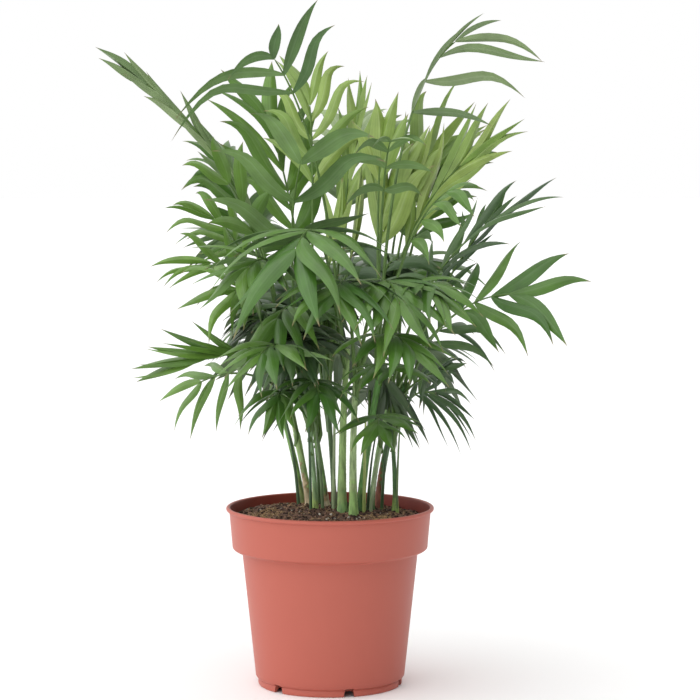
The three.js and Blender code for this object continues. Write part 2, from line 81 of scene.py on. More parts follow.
# ------------------------------------------------------------------ growth tables, millimetres
# first line: node, foot [x, y], bow and top [x, y, z]; second line: radius at the foot and the
# top, colour of the foot and of the cane, height that the foot's colour reaches
Stem = namedtuple("Stem", "name foot bow top low_radius top_radius low_colour colour dry")
STEMS = [Stem(*row) for row in (
    ("stem_back_left", (-17, 45), (-20, 46, 128), (-35, 52, 172),
     2.0, 1.2, "#7d8a55", "#6b8f4c", 12),
    ("stem_left", (-12, 14), (-15, 15, 128), (-29, 16, 184),
     2.2, 1.3, "#ab9a7c", "#869e66", 26),
    ("stem_left_slim", (-8.5, 5), (-9, 2, 130), (-14, -3, 168),
     1.6, 1.0, "#93ab62", "#7d9a70", 14),
    ("stem_pale_foot", (-2, 15), (-5, 16, 128), (-15, 22, 178),
     1.9, 1.2, "#b9ab8f", "#6a8a52", 20),
    ("stem_rear", (2.5, 28), (1, 30, 140), (-4, 38, 185),
     1.6, 1.0, "#6f7d60", "#5c7350", 16),
    ("stem_front_left", (7, -9), (6.5, -9, 150), (10, -11, 196),
     2.6, 1.4, "#6f8f58", "#809a5f", 12),
    ("stem_front_right", (13.5, -17.5), (12, -19, 150), (16, -24, 192),
     2.4, 1.3, "#7fa05e", "#879c6c", 14),
    ("stem_middle_right", (17.5, -1), (19, -1, 130), (31, 2, 192),
     2.6, 1.4, "#3f6332", "#557f40", 12),
    ("stem_right", (24, 14), (26, 15, 130), (37, 19, 170),
     1.7, 1.1, "#5b8452", "#8aa872", 12),
    ("stem_brown", (28.5, 26), (30, 28, 130), (45, 36, 172),
     2.4, 1.3, "#86503f", "#45673a", 30),
    ("stem_far_right", (38, 10), (38, 10, 120), (36, 12, 144),
     1.6, 1.0, "#86a35a", "#4a6b40", 14),
)]

# first line: name, stem, share of the stem's height where the frond leaves it, bow and tip of the
# rib [x, y, z]; second line: bare share of the rib, pairs of leaflets, their length and width,
# their opening from the rib at the first and the last pair, their lift out of the blade's plane,
# the blade's roll (degrees), the leaflets' droop as a share of their length, and how much shorter
# the last pair is than the first
Frond = namedtuple(
    "Frond",
    "name stem share bow tip bare pairs size width opening closing lift roll droop taper",
)
FRONDS = [Frond(*row) for row in (
    ("top_centre", 5, 1, (-2, -14, 318), (-32, -22, 361),
     0.8, 3, 92, 6.8, 56, 42, 0, 75, 0.45, 0.58),
    ("top_left", 1, 1, (-34, 8, 292), (-106, -2, 347),
     0.42, 6, 46, 6.5, 3, 0, 0, -80, 0.0, 0.1),
    ("top_right", 7, 1, (34, 0, 345), (73, 8, 371),
     0.6, 4, 52, 6, 60, 22, 40, 130, 0.1, -0.1),
    ("back_bright", 9, 0.97, (26, 46, 262), (54, 62, 290),
     0.74, 4, 76, 11, 30, 12, 0, 80, 0.04, 0.1),
    ("back_centre", 4, 0.97, (8, 46, 272), (14, 58, 312),
     0.58, 4, 50, 7.5, 20, 6, 0, 0, 0.02, 0),
    ("back_left_top", 3, 1, (-8, 44, 290), (-12, 62, 336),
     0.6, 5, 50, 7.5, 42, 22, 0, 0, 0.06, 0.1),
    ("back_left_wide", 3, 0.93, (-16, 46, 262), (-34, 62, 318),
     0.55, 6, 64, 9, 40, 20, 0, 0, 0.08, 0.1),
    ("left_high", 1, 0.9, (-34, 0, 256), (-58, -14, 291),
     0.65, 3, 44, 10, 46, 30, 0, -80, 0.06, 0.1),
    ("front_star", 5, 0.93, (-4, -30, 294), (-19, -74, 254),
     0.5, 6, 60, 10, 76, 34, 0, 0, 0.34, 0.2),
    ("front_upper", 3, 0.97, (-28, -10, 258), (-16, -38, 303),
     0.55, 3, 62, 10.5, 56, 40, 0, 0, 0.1, 0.1),
    ("front_left", 2, 1, (-22, -30, 268), (-46, -62, 244),
     0.5, 5, 46, 8, 66, 24, 0, -15, 0.36, 0.2),
    ("front_right_middle", 6, 1, (28, -44, 258), (37, -80, 228),
     0.5, 6, 44, 8.5, 70, 30, 0, 0, 0.34, 0.2),
    ("front_low", 6, 0.9, (10, -50, 256), (4, -84, 232),
     0.5, 6, 42, 8, 70, 30, 0, 0, 0.36, 0.2),
    ("right_upper_light", 7, 0.95, (36, 28, 264), (78, 44, 300),
     0.5, 5, 64, 7.5, 20, 8, 0, 55, 0.04, 0.1),
    ("right_upper_front", 7, 0.98, (40, -14, 268), (66, -34, 286),
     0.55, 4, 30, 6.5, 74, 40, -20, 40, 0.4, 0.1),
    ("right_high_dark", 8, 1, (50, 10, 240), (94, 6, 268),
     0.42, 4, 52, 5.5, 34, 12, 0, 40, 0.2, 0),
    ("right_far", 8, 0.96, (66, 0, 226), (104, -14, 227),
     0.58, 4, 50, 8.6, 50, 22, 0, 50, 0.12, -0.12),
    ("right_middle_dark", 9, 1, (60, 28, 226), (92, 34, 266),
     0.5, 4, 36, 5.4, 25, 14, 0, 50, 0.04, 0.2),
    ("right_low_arch", 9, 0.9, (60, 36, 206), (70, 44, 204),
     0.5, 3, 44, 5, 56, 24, 0, 50, 0.4, 0.2),
    ("low_right_fan", 10, 1, (44, 14, 174), (62, 22, 166),
     0.6, 5, 33, 3.8, 70, 10, 0, 70, 0.4, 0),
    ("low_right_second", 8, 0.85, (50, -8, 180), (62, -22, 184),
     0.5, 5, 28, 4.2, 62, 20, 0, 40, 0.24, 0.2),
    ("low_front_right", 8, 0.6, (26, -20, 168), (27, -52, 156),
     0.55, 5, 27, 7, 80, 30, 0, 0, 0.36, 0.2),
    ("low_front_leaf", 6, 0.8, (24, -40, 196), (35, -58, 189),
     0.6, 4, 31, 6.5, 86, 50, 0, 0, 0.3, 0.2),
    ("left_middle_high", 0, 1, (-46, 44, 256), (-68, 34, 268),
     0.55, 4, 42, 5.5, 52, 14, 0, -60, 0.2, 0.1),
    ("left_middle", 1, 0.82, (-42, 22, 240), (-70, 8, 244),
     0.5, 4, 46, 5.4, 52, 14, 0, -60, 0.2, 0.1),
    ("left_middle_low", 1, 0.8, (-34, -12, 236), (-54, -32, 230),
     0.5, 4, 44, 7, 70, 24, 0, -40, 0.34, 0.1),
    ("low_left", 2, 0.95, (-42, -24, 204), (-76, -28, 190),
     0.5, 5, 44, 6.2, 26, 10, 14, -40, 0.03, 0),
    ("low_left_droop", 2, 0.88, (-44, 0, 192), (-76, -6, 175),
     0.6, 4, 27, 5.5, 84, 20, -35, -60, 0.12, -0.1),
    ("low_left_centre", 1, 0.6, (-26, -10, 184), (-30, -38, 168),
     0.5, 5, 29, 6.5, 76, 20, 0, 0, 0.5, 0.2),
    ("low_centre_front", 3, 0.7, (-10, -18, 192), (-6, -56, 174),
     0.5, 5, 31, 7, 76, 24, 0, 0, 0.5, 0.2),
    ("back_low_left", 0, 0.84, (-32, 82, 212), (-44, 102, 184),
     0.45, 6, 42, 7.5, 64, 24, 0, 0, 0.44, 0.2),
    ("back_middle_left", 0, 0.96, (-40, 76, 276), (-60, 104, 254),
     0.5, 7, 46, 8, 60, 24, 0, 0, 0.3, 0.2),
    ("back_middle", 4, 0.95, (-2, 78, 268), (-8, 112, 232),
     0.45, 7, 50, 9, 64, 26, 0, 0, 0.34, 0.2),
    ("back_low", 4, 0.82, (6, 72, 214), (9, 98, 182),
     0.45, 6, 42, 8, 64, 24, 0, 0, 0.5, 0.2),
    ("back_middle_right", 9, 0.9, (42, 78, 268), (60, 104, 236),
     0.45, 7, 48, 9, 62, 26, 0, 0, 0.34, 0.2),
    ("back_low_right", 9, 0.8, (50, 66, 210), (62, 86, 180),
     0.45, 6, 40, 8, 62, 24, 0, 0, 0.46, 0.2),
    ("back_high", 4, 0.9, (14, 66, 300), (16, 104, 322),
     0.5, 7, 50, 8, 54, 24, 0, 0, 0.2, 0.2),
    ("right_back_high", 8, 0.95, (46, 52, 276), (74, 84, 304),
     0.5, 7, 44, 8, 54, 24, 0, 0, 0.2, 0.2),
    ("left_back_high", 0, 0.86, (-46, 58, 284), (-64, 80, 302),
     0.5, 7, 44, 8, 54, 24, 0, 0, 0.2, 0.2),
    ("front_left_low", 2, 0.85, (-22, -46, 216), (-38, -76, 198),
     0.5, 5, 38, 8, 70, 24, 0, 0, 0.36, 0.2),
    ("front_right_low", 6, 0.85, (26, -52, 220), (42, -82, 204),
     0.5, 5, 38, 8, 70, 24, 0, 0, 0.36, 0.2),
    ("front_high", 7, 0.9, (29, -8, 300), (34, -30, 314),
     0.6, 4, 26, 6, 80, 34, 0, 0, 0.4, 0.1),
    ("centre_left", 3, 0.88, (-18, -10, 240), (-30, -44, 214),
     0.45, 5, 42, 8, 66, 24, 0, 0, 0.4, 0.2),
    ("right_front", 6, 0.95, (40, -42, 250), (58, -62, 232),
     0.5, 6, 40, 7.5, 64, 20, 0, 10, 0.28, 0.2),
    ("back_inner", 4, 0.88, (-15, 52, 244), (-30, 76, 218),
     0.45, 5, 42, 8, 64, 24, 0, 0, 0.36, 0.2),
    ("low_back_left", 4, 0.6, (-8, 48, 186), (-18, 70, 162),
     0.5, 5, 34, 7.5, 70, 30, 0, 0, 0.46, 0.2),
    ("low_back_right", 7, 0.6, (24, 30, 182), (22, 60, 162),
     0.5, 5, 34, 7.5, 70, 30, 0, 0, 0.46, 0.2),
)]

# sprays whose leaflets differ from one side to the other: the side, the share of the length that
# its leaflets have, the opening added (degrees) and the droop added
LOPSIDED = {
    "top_centre": (-1, 0.6, -5, -0.45),
    "top_left": (-1, 0.8, 9, 0.06),
    "top_right": (-1, 0.68, -34, 0),
    "right_far": (1, 0.84, 2, 0.14),
    "heart_broad": (-1, 0.9, -18, 0),
}

# how the finer leaflets of some fronds lie against the solids, on one side and on the other: the
# share of the length, the opening added (degrees), the share of the upward arch, the droop added
AS_GROWN = (1, 0, 1, 0)
FINER = {
    "top_centre": ((1, 7, 1, 0), (0.84, 0, 0.25, 0.1)),
    "top_right": ((1, 4, 0.15, 0.08), (1, 6, 0.05, 0.1)),
    "right_far": ((1, 4, 0.2, 0.03), (1, 4, 0.2, 0.03)),
    "right_high_dark": ((1, 0, 1, -0.12), (1, 0, 1, -0.12)),
    "low_left": ((1, -16, 0.5, -0.08), (1, -16, 0.5, -0.08)),
    "low_left_droop": ((0.97, 8, 0.6, 0.16), (0.97, 8, 0.6, 0.1)),
    "left_high": (AS_GROWN, (1, 0, 0.7, 0.14)),
    "left_middle_high": (AS_GROWN, (1, 0, 0.7, 0.22)),
    "left_middle": (AS_GROWN, (1, 0, 0.7, 0.12)),
}

# young sprays inside the crown that have no solid of their own
HEART = [Frond(*row) for row in (
    ("heart_broad", 7, 0.95, (28, 16, 232), (30, 26, 270),
     0.8, 3, 66, 12.5, 30, 16, 0, 0, 0.0, 0.1),
    ("heart_erect", 4, 0.9, (10, 32, 225), (13, 36, 254),
     0.85, 2, 56, 9, 12, 5, 0, 0, 0.0, 0.1),
    ("heart_tall", 7, 0.97, (27, 18, 268), (29, 22, 302),
     0.85, 2, 47, 11.5, 23, 10, 0, 0, 0.0, 0.05),
    ("heart_right", 7, 0.9, (40, 28, 258), (50, 36, 291),
     0.85, 2, 42, 8, 18, 4, 0, 20, 0.0, 0.1),
    ("heart_left", 3, 0.9, (-3, 32, 226), (1, 35, 250),
     0.85, 2, 52, 9, 16, 5, 0, 0, 0.0, 0.1),
)]

# thin stalks that rise between the canes: foot [x, y], top [x, y, z], radius, colour
STALKS = [
    ((-18, 24), (-26, 26, 150), 0.9, "#40583a"),
    ((-11, -2), (-13, -6, 163), 0.8, "#3f5a3c"),
    ((-4, 8), (-9, 8, 152), 0.9, "#6b7f5a"),
    ((2, 2), (3, -2, 170), 1.0, "#8a9a74"),
    ((19.5, -8), (20.5, -12, 158), 1.0, "#8f9f5c"),
    ((21.5, 6), (26, 4, 142), 0.8, "#3c4f34"),
    ((23, 0), (29.5, -4, 138), 1.1, "#8b9c77"),
    ((30, 18), (34.5, 14, 144), 0.9, "#4a6140"),
    ((38.5, 9), (41, 6, 156), 0.7, "#62794e"),
    ((5, 34), (9, 40, 168), 1.0, "#52693f"),
    ((-6, 30), (-12, 36, 165), 0.9, "#4c633c"),
    ((12, 22), (15, 26, 170), 1.0, "#4f683f"),
]

# young, pale sprays; the first four, at the back and the upper right, are paler also with painted
# light, for the light that shines through them
PALE = (
    "back_bright", "back_centre", "back_left_top", "right_upper_light",
    "heart_broad", "heart_erect", "heart_tall", "heart_right", "heart_left",
)
# upper fronds of a soft grey-green
SOFT = ("top_left", "top_right", "back_high")
# fronds in the crown's shade, whose darker greens are painted shade
PAINTED_SHADE = (
    "right_middle_dark", "right_high_dark", "low_right_fan", "low_right_second", "right_low_arch",
    "back_inner", "low_back_left", "low_back_right", "back_low", "back_low_left", "back_low_right",
)
# painted light and shade: how much lighter the leaflets of some fronds are where the light falls
# on them, as a share of the step from the darker to the lighter green of their kind; below 0 they
# are darker, painted shade
PAINTED_LIGHT = {
    "left_high": 0.75, "left_middle_high": 1.1, "left_middle": 1.15, "left_middle_low": 1.1,
    "front_left": 0.4, "front_star": 0.12, "front_upper": 0.42, "front_high": 0.7,
    "low_left": 0.5, "low_left_droop": 0.5, "low_left_centre": -0.2, "low_centre_front": -0.15,
    "right_low_arch": 0.3, "low_right_fan": 0.25, "back_left_wide": 0.8,
}


def linear(hexcode):
    """An sRGB hex colour as linear red, green, blue and alpha."""
    parts = [int(hexcode[i : i + 2], 16) / 255 for i in (1, 3, 5)]
    lit = [p / 12.92 if p <= 0.04045 else ((p + 0.055) / 1.055) ** 2.4 for p in parts]
    return (*lit, 1.0)


def colour(name, description, hexcode):
    """A colour property with its default given as sRGB hex."""
    return bpy.props.FloatVectorProperty(
        name=name, description=description, default=linear(hexcode), subtype="COLOR",
        size=4, min=0, max=1,
    )


def length(name, description, millimetres):
    """A length property with its default given in millimetres."""
    return bpy.props.FloatProperty(
        name=name, description=description, default=millimetres * MM, unit="LENGTH", min=0
    )


# ------------------------------------------------------------------ settings
class PalmPotSettings(bpy.types.PropertyGroup):
    """Size and colours of the nursery pot"""

    lip_radius: length("Lip radius", "Half the width of the pot across its lip", POT_HIGH.x / MM)
    height: length("Height", "Height of the pot", POT_HIGH.z / MM)
    plastic: colour("Plastic", "Colour of the moulded plastic", "#ba6253")
    # the inside wall is the same plastic, darker: painted shade for the inside of the pot
    plastic_inside_painted_shade: colour("Inside", "Colour of the wall inside the pot", "#a4483d")


class PalmSoilSettings(bpy.types.PropertyGroup):
    """Shape and colours of the potting mix"""

    mound: length("Mound", "How far the mix is heaped above its edge", 4.0)
    dark: colour("Peat", "Damp peat", "#46322a")
    light: colour("Dry peat", "Dry crumbs of peat", "#9c7763")
    perlite: colour("Perlite", "White expanded grains", "#cfc7ba")
    fibre: colour("Fibre", "Pale coir fibres", "#b9976c")


class PalmLeafSettings(bpy.types.PropertyGroup):
    """Colours of the leaflets and ribs"""

    # the young greens are partly painted light: on the sprays at the back they stand for light
    # shining through the leaflets
    pale_light: colour("Young, light", "Youngest sprays, lighter leaflets", "#98ae5a")
    pale_dark: colour("Young, dark", "Youngest sprays, darker leaflets", "#7f9c4a")
    soft_light: colour("Soft, light", "Upper sprays, lighter leaflets", "#8ea270")
    soft_dark: colour("Soft, dark", "Upper sprays, darker leaflets", "#6f8758")
    green_light: colour("Green, light", "Grown sprays, lighter leaflets", "#5f8533")
    green_dark: colour("Green, dark", "Grown sprays, darker leaflets", "#446c22")
    # these darker greens are painted shade, for fronds in the crown's shade and the sprays deep
    # inside it
    painted_shade_light: colour("Deep, light", "Shaded sprays, lighter leaflets", "#52713c")
    painted_shade_dark: colour("Deep, dark", "Shaded sprays, darker leaflets", "#36522c")
    rib: colour("Rib", "Frond stalks and ribs", "#587539")
    dry: colour("Dry tip", "Dry brown tips of the leaflets", "#8d7a58")


class PalmStageSettings(bpy.types.PropertyGroup):
    """Floor and lights"""

    floor: colour("Floor", "The pale floor", "#fdfdfd")
    backdrop: colour("Sweep", "The white sweep behind the plant", "#ffffff")
    key: bpy.props.FloatProperty(
        name="Key", description="Strength of the large soft key light", default=1.7, min=0
    )
    room: bpy.props.FloatProperty(
        name="Room", description="Brightness of the room before the plant", default=0.22,
        min=0, max=1,
    )


# ------------------------------------------------------------------ shared modelling tools
def clear_selection():
    """Leaves object mode with nothing selected."""
    if bpy.context.object and bpy.context.object.mode != "OBJECT":
        bpy.ops.object.mode_set(mode="OBJECT")
    bpy.ops.object.select_all(action="DESELECT")


def pull_lathe(name, profile, segments):
    """Pulls a round form up from a circle: one extrusion and one resize for each point (radius,
    height) of the profile, in millimetres. Both ends are drawn together to a pole."""
    clear_selection()
    radius, height = profile[0]
    bpy.ops.mesh.primitive_circle_add(
        vertices=segments, radius=radius * MM, fill_type="NOTHING", location=(0, 0, height * MM)
    )
    made = bpy.context.object
    made.name = made.data.name = name
    bpy.ops.object.transform_apply(location=True, rotation=True, scale=True)
    bpy.ops.object.mode_set(mode="EDIT")
    bpy.ops.mesh.select_all(action="SELECT")
    for next_radius, next_height in profile[1:]:
        bpy.ops.mesh.extrude_region_move(
            TRANSFORM_OT_translate={"value": (0, 0, (next_height - height) * MM)}
        )
        share = next_radius / radius
        bpy.ops.transform.resize(value=(share, share, 1), center_override=(0, 0, next_height * MM))
        radius, height = next_radius, next_height
    bpy.ops.mesh.merge(type="CENTER")
    bpy.ops.mesh.select_all(action="DESELECT")
    bpy.ops.mesh.select_mode(type="EDGE")
    bpy.ops.mesh.select_non_manifold(extend=False, use_boundary=True)
    bpy.ops.mesh.merge(type="CENTER")
    bpy.ops.mesh.select_mode(type="VERT")
    bpy.ops.mesh.select_all(action="SELECT")
    bpy.ops.mesh.normals_make_consistent(inside=False)
    bpy.ops.object.mode_set(mode="OBJECT")
    return made


def dress(piece, degrees, *materials):
    """Gives a piece its materials, and shades it smooth up to an angle."""
    for material in materials:
        piece.data.materials.append(material)
    clear_selection()
    piece.select_set(True)
    bpy.context.view_layer.objects.active = piece
    bpy.ops.object.shade_smooth_by_angle(angle=math.radians(degrees))


def keep(piece, slot, *nodes):
    """Rides the piece on the one body and hides the nodes it stands for."""
    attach(piece, "root")
    if nodes:
        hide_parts(*nodes)


def scatter(seed):
    """A repeatable run of numbers between -1 and 1, by the Lehmer rule."""
    factor, modulus = 16807, 2147483647
    state = seed
    while True:
        state = (state * factor) % modulus
        yield state / modulus * 2 - 1


def unit(v):
    """v at a length of 1."""
    return v / np.linalg.norm(v)


def lerp(a, b, t):
    """The value at the share t of the way from a to b."""
    return a + (b - a) * t


def bezier(curve, t):
    """The point and the direction of a quadratic curve."""
    a, b, c = (np.array(p, float) for p in curve)
    point = (1 - t) ** 2 * a + 2 * t * (1 - t) * b + t * t * c
    return point, unit(2 * (1 - t) * (b - a) + 2 * t * (c - b))


def turned(v, axis, angle):
    """v turned about a unit axis."""
    kept = axis * (axis @ v) * (1 - math.cos(angle))
    return v * math.cos(angle) + np.cross(axis, v) * math.sin(angle) + kept


def joined_mesh(name, points, faces):
    """A new piece in the scene, from arrays of points in millimetres and one list of faces."""
    mesh = bpy.data.meshes.new(name)
    mesh.from_pydata((np.concatenate(points) * MM).tolist(), [], faces)
    mesh.update()
    piece = bpy.data.objects.new(name, mesh)
    bpy.context.scene.collection.objects.link(piece)
    return piece


def tube_mesh(name, tubes, attribute=None):
    """One joined mesh of closed tubes. Each tube has arrays of its points (rings, sides, 3) in
    millimetres, of its UV (rings, sides, 2) and, where they go into an attribute, of its colours
    (rings, sides, 4). The first ring is capped and the last one drawn to a point."""
    layers, faces = ([], [], []), []
    start = 0
    for tube in tubes:
        for layer, rings in zip(layers, tube):
            layer += [rings[:-1].reshape(-1, rings.shape[2]), rings[-1].mean(0)[None]]
        count, sides = tube[0].shape[:2]
        k = np.arange(sides)
        n = (k + 1) % sides
        for i in range(count - 2):
            low, high = start + i * sides, start + (i + 1) * sides
            faces += np.stack([low + k, low + n, high + n, high + k], 1).tolist()
        low, pole = start + (count - 2) * sides, start + (count - 1) * sides
        faces += np.stack([low + k, low + n, np.full(sides, pole)], 1).tolist()
        faces.append((start + k[::-1]).tolist())
        start = pole + 1
    points, flat_uv, colours = layers
    piece = joined_mesh(name, points, faces)
    mesh = piece.data
    corner = np.zeros(len(mesh.loops), int)
    mesh.loops.foreach_get("vertex_index", corner)
    layer = mesh.uv_layers.new(name="UVMap")
    layer.data.foreach_set("uv", np.concatenate(flat_uv)[corner].astype(np.float32).ravel())
    if attribute:
        tint = mesh.attributes.new(attribute, "FLOAT_COLOR", "POINT")
        tint.data.foreach_set("color", np.concatenate(colours).astype(np.float32).ravel())
    return piece


def add(tree, kind, sockets=None, **settings):
    """Adds a shader node with its settings, and fills its sockets with values or links. A node
    among the values stands for its first output."""
    made = tree.nodes.new("ShaderNode" + kind)
    for key, value in settings.items():
        setattr(made, key, value)
    for key, value in (sockets or {}).items():
        if isinstance(value, bpy.types.Node):
            value = value.outputs[0]
        if isinstance(value, bpy.types.NodeSocket):
            tree.links.new(value, made.inputs[key])
        else:
            made.inputs[key].default_value = value
    return made


def new_material(name):
    """An empty node material, and its tree."""
    material = bpy.data.materials.new(name)
    material.use_nodes = True
    material.node_tree.nodes.clear()
    return material, material.node_tree


def darkened(base, share):
    """A colour at a share of its brightness."""
    return tuple(c * share for c in base[:3]) + (1.0,)


# ------------------------------------------------------------------ materials
def moulded_polypropylene(name, base, shade):
    """Injection-moulded polypropylene: an even satin skin, with a faint cloudiness from the
    pigment and a fine grain that breaks the highlight up."""
    material, tree = new_material(name)
    place = add(tree, "TexCoord").outputs["Object"]
    cloud = add(tree, "TexNoise", {"Vector": place, "Scale": 22.0, "Detail": 3.0})
    tint = add(tree, "Mix", {0: cloud, 6: darkened(base, shade), 7: base}, data_type="RGBA")
    # moulding grain, 0.4 mm across
    grain = add(tree, "TexNoise", {"Vector": place, "Scale": 2500.0, "Detail": 2.0})
    bump = add(tree, "Bump", {"Strength": 0.12, "Distance": 0.0001, "Height": grain})
    shine = add(tree, "MapRange", {"Value": cloud, "To Min": 0.4, "To Max": 0.52})
    skin = add(tree, "BsdfPrincipled", {
        "Base Color": tint.outputs[2], "Roughness": shine, "Normal": bump,
        "IOR": 1.49, "Specular IOR Level": 0.36,
    })
    add(tree, "OutputMaterial", {"Surface": skin})
    return material


def potting_mix(dark, light):
    """Peat and bark potting mix: matt, crumbly, dark where damp and paler on the dry crests."""
    material, tree = new_material("peat_potting_mix")
    place = add(tree, "TexCoord").outputs["Object"]
    # crumbs 2.4 mm across, with finer specks between them
    crumbs = add(tree, "TexNoise", {
        "Vector": place, "Scale": 420.0, "Detail": 5.0, "Roughness": 0.7,
    })
    specks = add(tree, "TexVoronoi", {"Vector": place, "Scale": 520.0})
    dry = add(tree, "MapRange", {"Value": crumbs, "From Min": 0.42, "From Max": 0.7})
    tint = add(tree, "Mix", {0: dry, 6: dark, 7: light}, data_type="RGBA")
    relief = add(tree, "Math", {0: crumbs, 1: specks}, operation="ADD")
    bump = add(tree, "Bump", {"Strength": 0.9, "Distance": 0.0012, "Height": relief})
    skin = add(tree, "BsdfPrincipled", {
        "Base Color": tint.outputs[2], "Roughness": 0.95, "Normal": bump,
    })
    add(tree, "OutputMaterial", {"Surface": skin})
    return material


def loose_grain(name, base, shade, scale, roughness):
    """Small dry grains or fibres: matt and pitted, each a little different in tone."""
    material, tree = new_material(name)
    place = add(tree, "TexCoord").outputs["Object"]
    pits = add(tree, "TexNoise", {"Vector": place, "Scale": scale, "Detail": 3.0})
    spread = add(tree, "MapRange", {"Value": pits, "From Min": 0.35, "From Max": 0.65})
    tint = add(tree, "Mix", {0: spread, 6: darkened(base, shade), 7: base}, data_type="RGBA")
    bump = add(tree, "Bump", {"Strength": 0.5, "Distance": 0.0003, "Height": pits})
    skin = add(tree, "BsdfPrincipled", {
        "Base Color": tint.outputs[2], "Roughness": roughness, "Normal": bump,
    })
    add(tree, "OutputMaterial", {"Surface": skin})
    return material


def palm_cane(name, attribute, ridges):
    """A green palm cane, stalk or rib: a smooth waxy skin, with fine fibres that run along it
    and streak its tone."""
    material, tree = new_material(name)
    base = add(tree, "Attribute", attribute_name=attribute).outputs["Color"]
    run = add(tree, "UVMap", uv_map="UVMap")
    # the fibres are drawn out along the cane
    stretched = add(tree, "Mapping", {"Vector": run, "Scale": (ridges, 0.12, 1.0)})
    fibres = add(tree, "TexNoise", {"Vector": stretched, "Scale": 1.0, "Detail": 3.0})
    tone = add(tree, "MapRange", {
        "Value": fibres, "From Min": 0.34, "From Max": 0.66, "To Min": 0.92, "To Max": 1.7,
    })
    tint = add(tree, "Mix", {0: 1.0, 6: base, 7: tone}, data_type="RGBA", blend_type="MULTIPLY")
    bump = add(tree, "Bump", {"Strength": 0.35, "Distance": 0.0002, "Height": fibres})
    skin = add(tree, "BsdfPrincipled", {
        "Base Color": tint.outputs[2], "Roughness": 0.45, "Normal": bump, "IOR": 1.42,
    })
    add(tree, "OutputMaterial", {"Surface": skin})
    return material


def palm_leaflet(name, dry):
    """A palm leaflet: a thin waxy blade with a pale midrib, fine parallel veins, a soft sheen and
    a dry brown point; its underside is paler and duller."""
    material, tree = new_material(name)
    base = add(tree, "Attribute", attribute_name="leaflet").outputs["Color"]
    under = add(tree, "Attribute", attribute_name="underside").outputs["Fac"]
    split = add(tree, "SeparateXYZ", {0: add(tree, "UVMap", uv_map="UVMap")})
    across, along = split.outputs[0], split.outputs[1]
    # seven veins across a leaflet 8 mm wide, 1.1 mm apart
    phase = add(tree, "Math", {0: across, 1: 2 * math.pi * 7}, operation="MULTIPLY")
    veins = add(tree, "Math", {0: phase}, operation="SINE")
    # the midrib, from the distance to the blade's middle
    off = add(tree, "Math", {0: across, 1: 0.5}, operation="SUBTRACT")
    off = add(tree, "Math", {0: off}, operation="ABSOLUTE")
    midrib = add(tree, "MapRange", {
        "Value": off, "From Min": 0.02, "From Max": 0.09, "To Min": 1.0, "To Max": 0.0,
    }, interpolation_type="SMOOTHSTEP")
    # cloudy green, a little darker along the veins
    place = add(tree, "TexCoord").outputs["Object"]
    cloud = add(tree, "TexNoise", {"Vector": place, "Scale": 90.0, "Detail": 2.0})
    tone = add(tree, "MapRange", {
        "Value": cloud, "From Min": 0.3, "From Max": 0.7, "To Min": 0.84, "To Max": 1.14,
    })
    lined = add(tree, "Math", {0: veins, 1: 0.05, 2: tone}, operation="MULTIPLY_ADD")
    tint = add(tree, "Mix", {0: 1.0, 6: base, 7: lined}, data_type="RGBA", blend_type="MULTIPLY")
    # the paler midrib
    paler = add(tree, "HueSaturation", {
        "Saturation": 0.8, "Value": 1.3, "Color": tint.outputs[2],
    })
    half = add(tree, "Math", {0: midrib, 1: 0.4}, operation="MULTIPLY")
    ribbed = add(tree, "Mix", {0: half, 6: tint.outputs[2], 7: paler}, data_type="RGBA")
    # the duller underside, and the dry point
    dull = add(tree, "HueSaturation", {
        "Saturation": 0.82, "Value": 1.12, "Color": ribbed.outputs[2],
    })
    sided = add(tree, "Mix", {0: under, 6: ribbed.outputs[2], 7: dull}, data_type="RGBA")
    tip = add(tree, "MapRange", {
        "Value": along, "From Min": 0.9, "From Max": 0.99, "To Min": 0.0, "To Max": 0.85,
    }, interpolation_type="SMOOTHSTEP")
    tipped = add(tree, "Mix", {0: tip, 6: sided.outputs[2], 7: dry}, data_type="RGBA")
    relief = add(tree, "Math", {0: midrib, 1: 2.0, 2: veins}, operation="MULTIPLY_ADD")
    bump = add(tree, "Bump", {"Strength": 0.3, "Distance": 0.00003, "Height": relief})
    shine = add(tree, "MapRange", {"Value": under, "To Min": 0.34, "To Max": 0.55})
    skin = add(tree, "BsdfPrincipled", {
        "Base Color": tipped.outputs[2], "Roughness": shine, "Normal": bump, "IOR": 1.5,
        "Sheen Weight": 0.05, "Sheen Roughness": 0.5,
    })
    add(tree, "OutputMaterial", {"Surface": skin})
    return material


def matt_floor(base):
    """Matt white board."""
    material, tree = new_material("matt_white_board")
    skin = add(tree, "BsdfPrincipled", {
        "Base Color": base, "Roughness": 0.9, "Specular IOR Level": 0.2,
    })
    add(tree, "OutputMaterial", {"Surface": skin})
    return material


# ------------------------------------------------------------------ pot
def arc(centre_r, centre_z, radius, start, end, steps):
    """Points of a profile round a small arc, degrees from +radius towards +height."""
    angles = [math.radians(lerp(start, end, i / steps)) for i in range(steps + 1)]
    return [(centre_r + radius * math.cos(a), centre_z + radius * math.sin(a)) for a in angles]


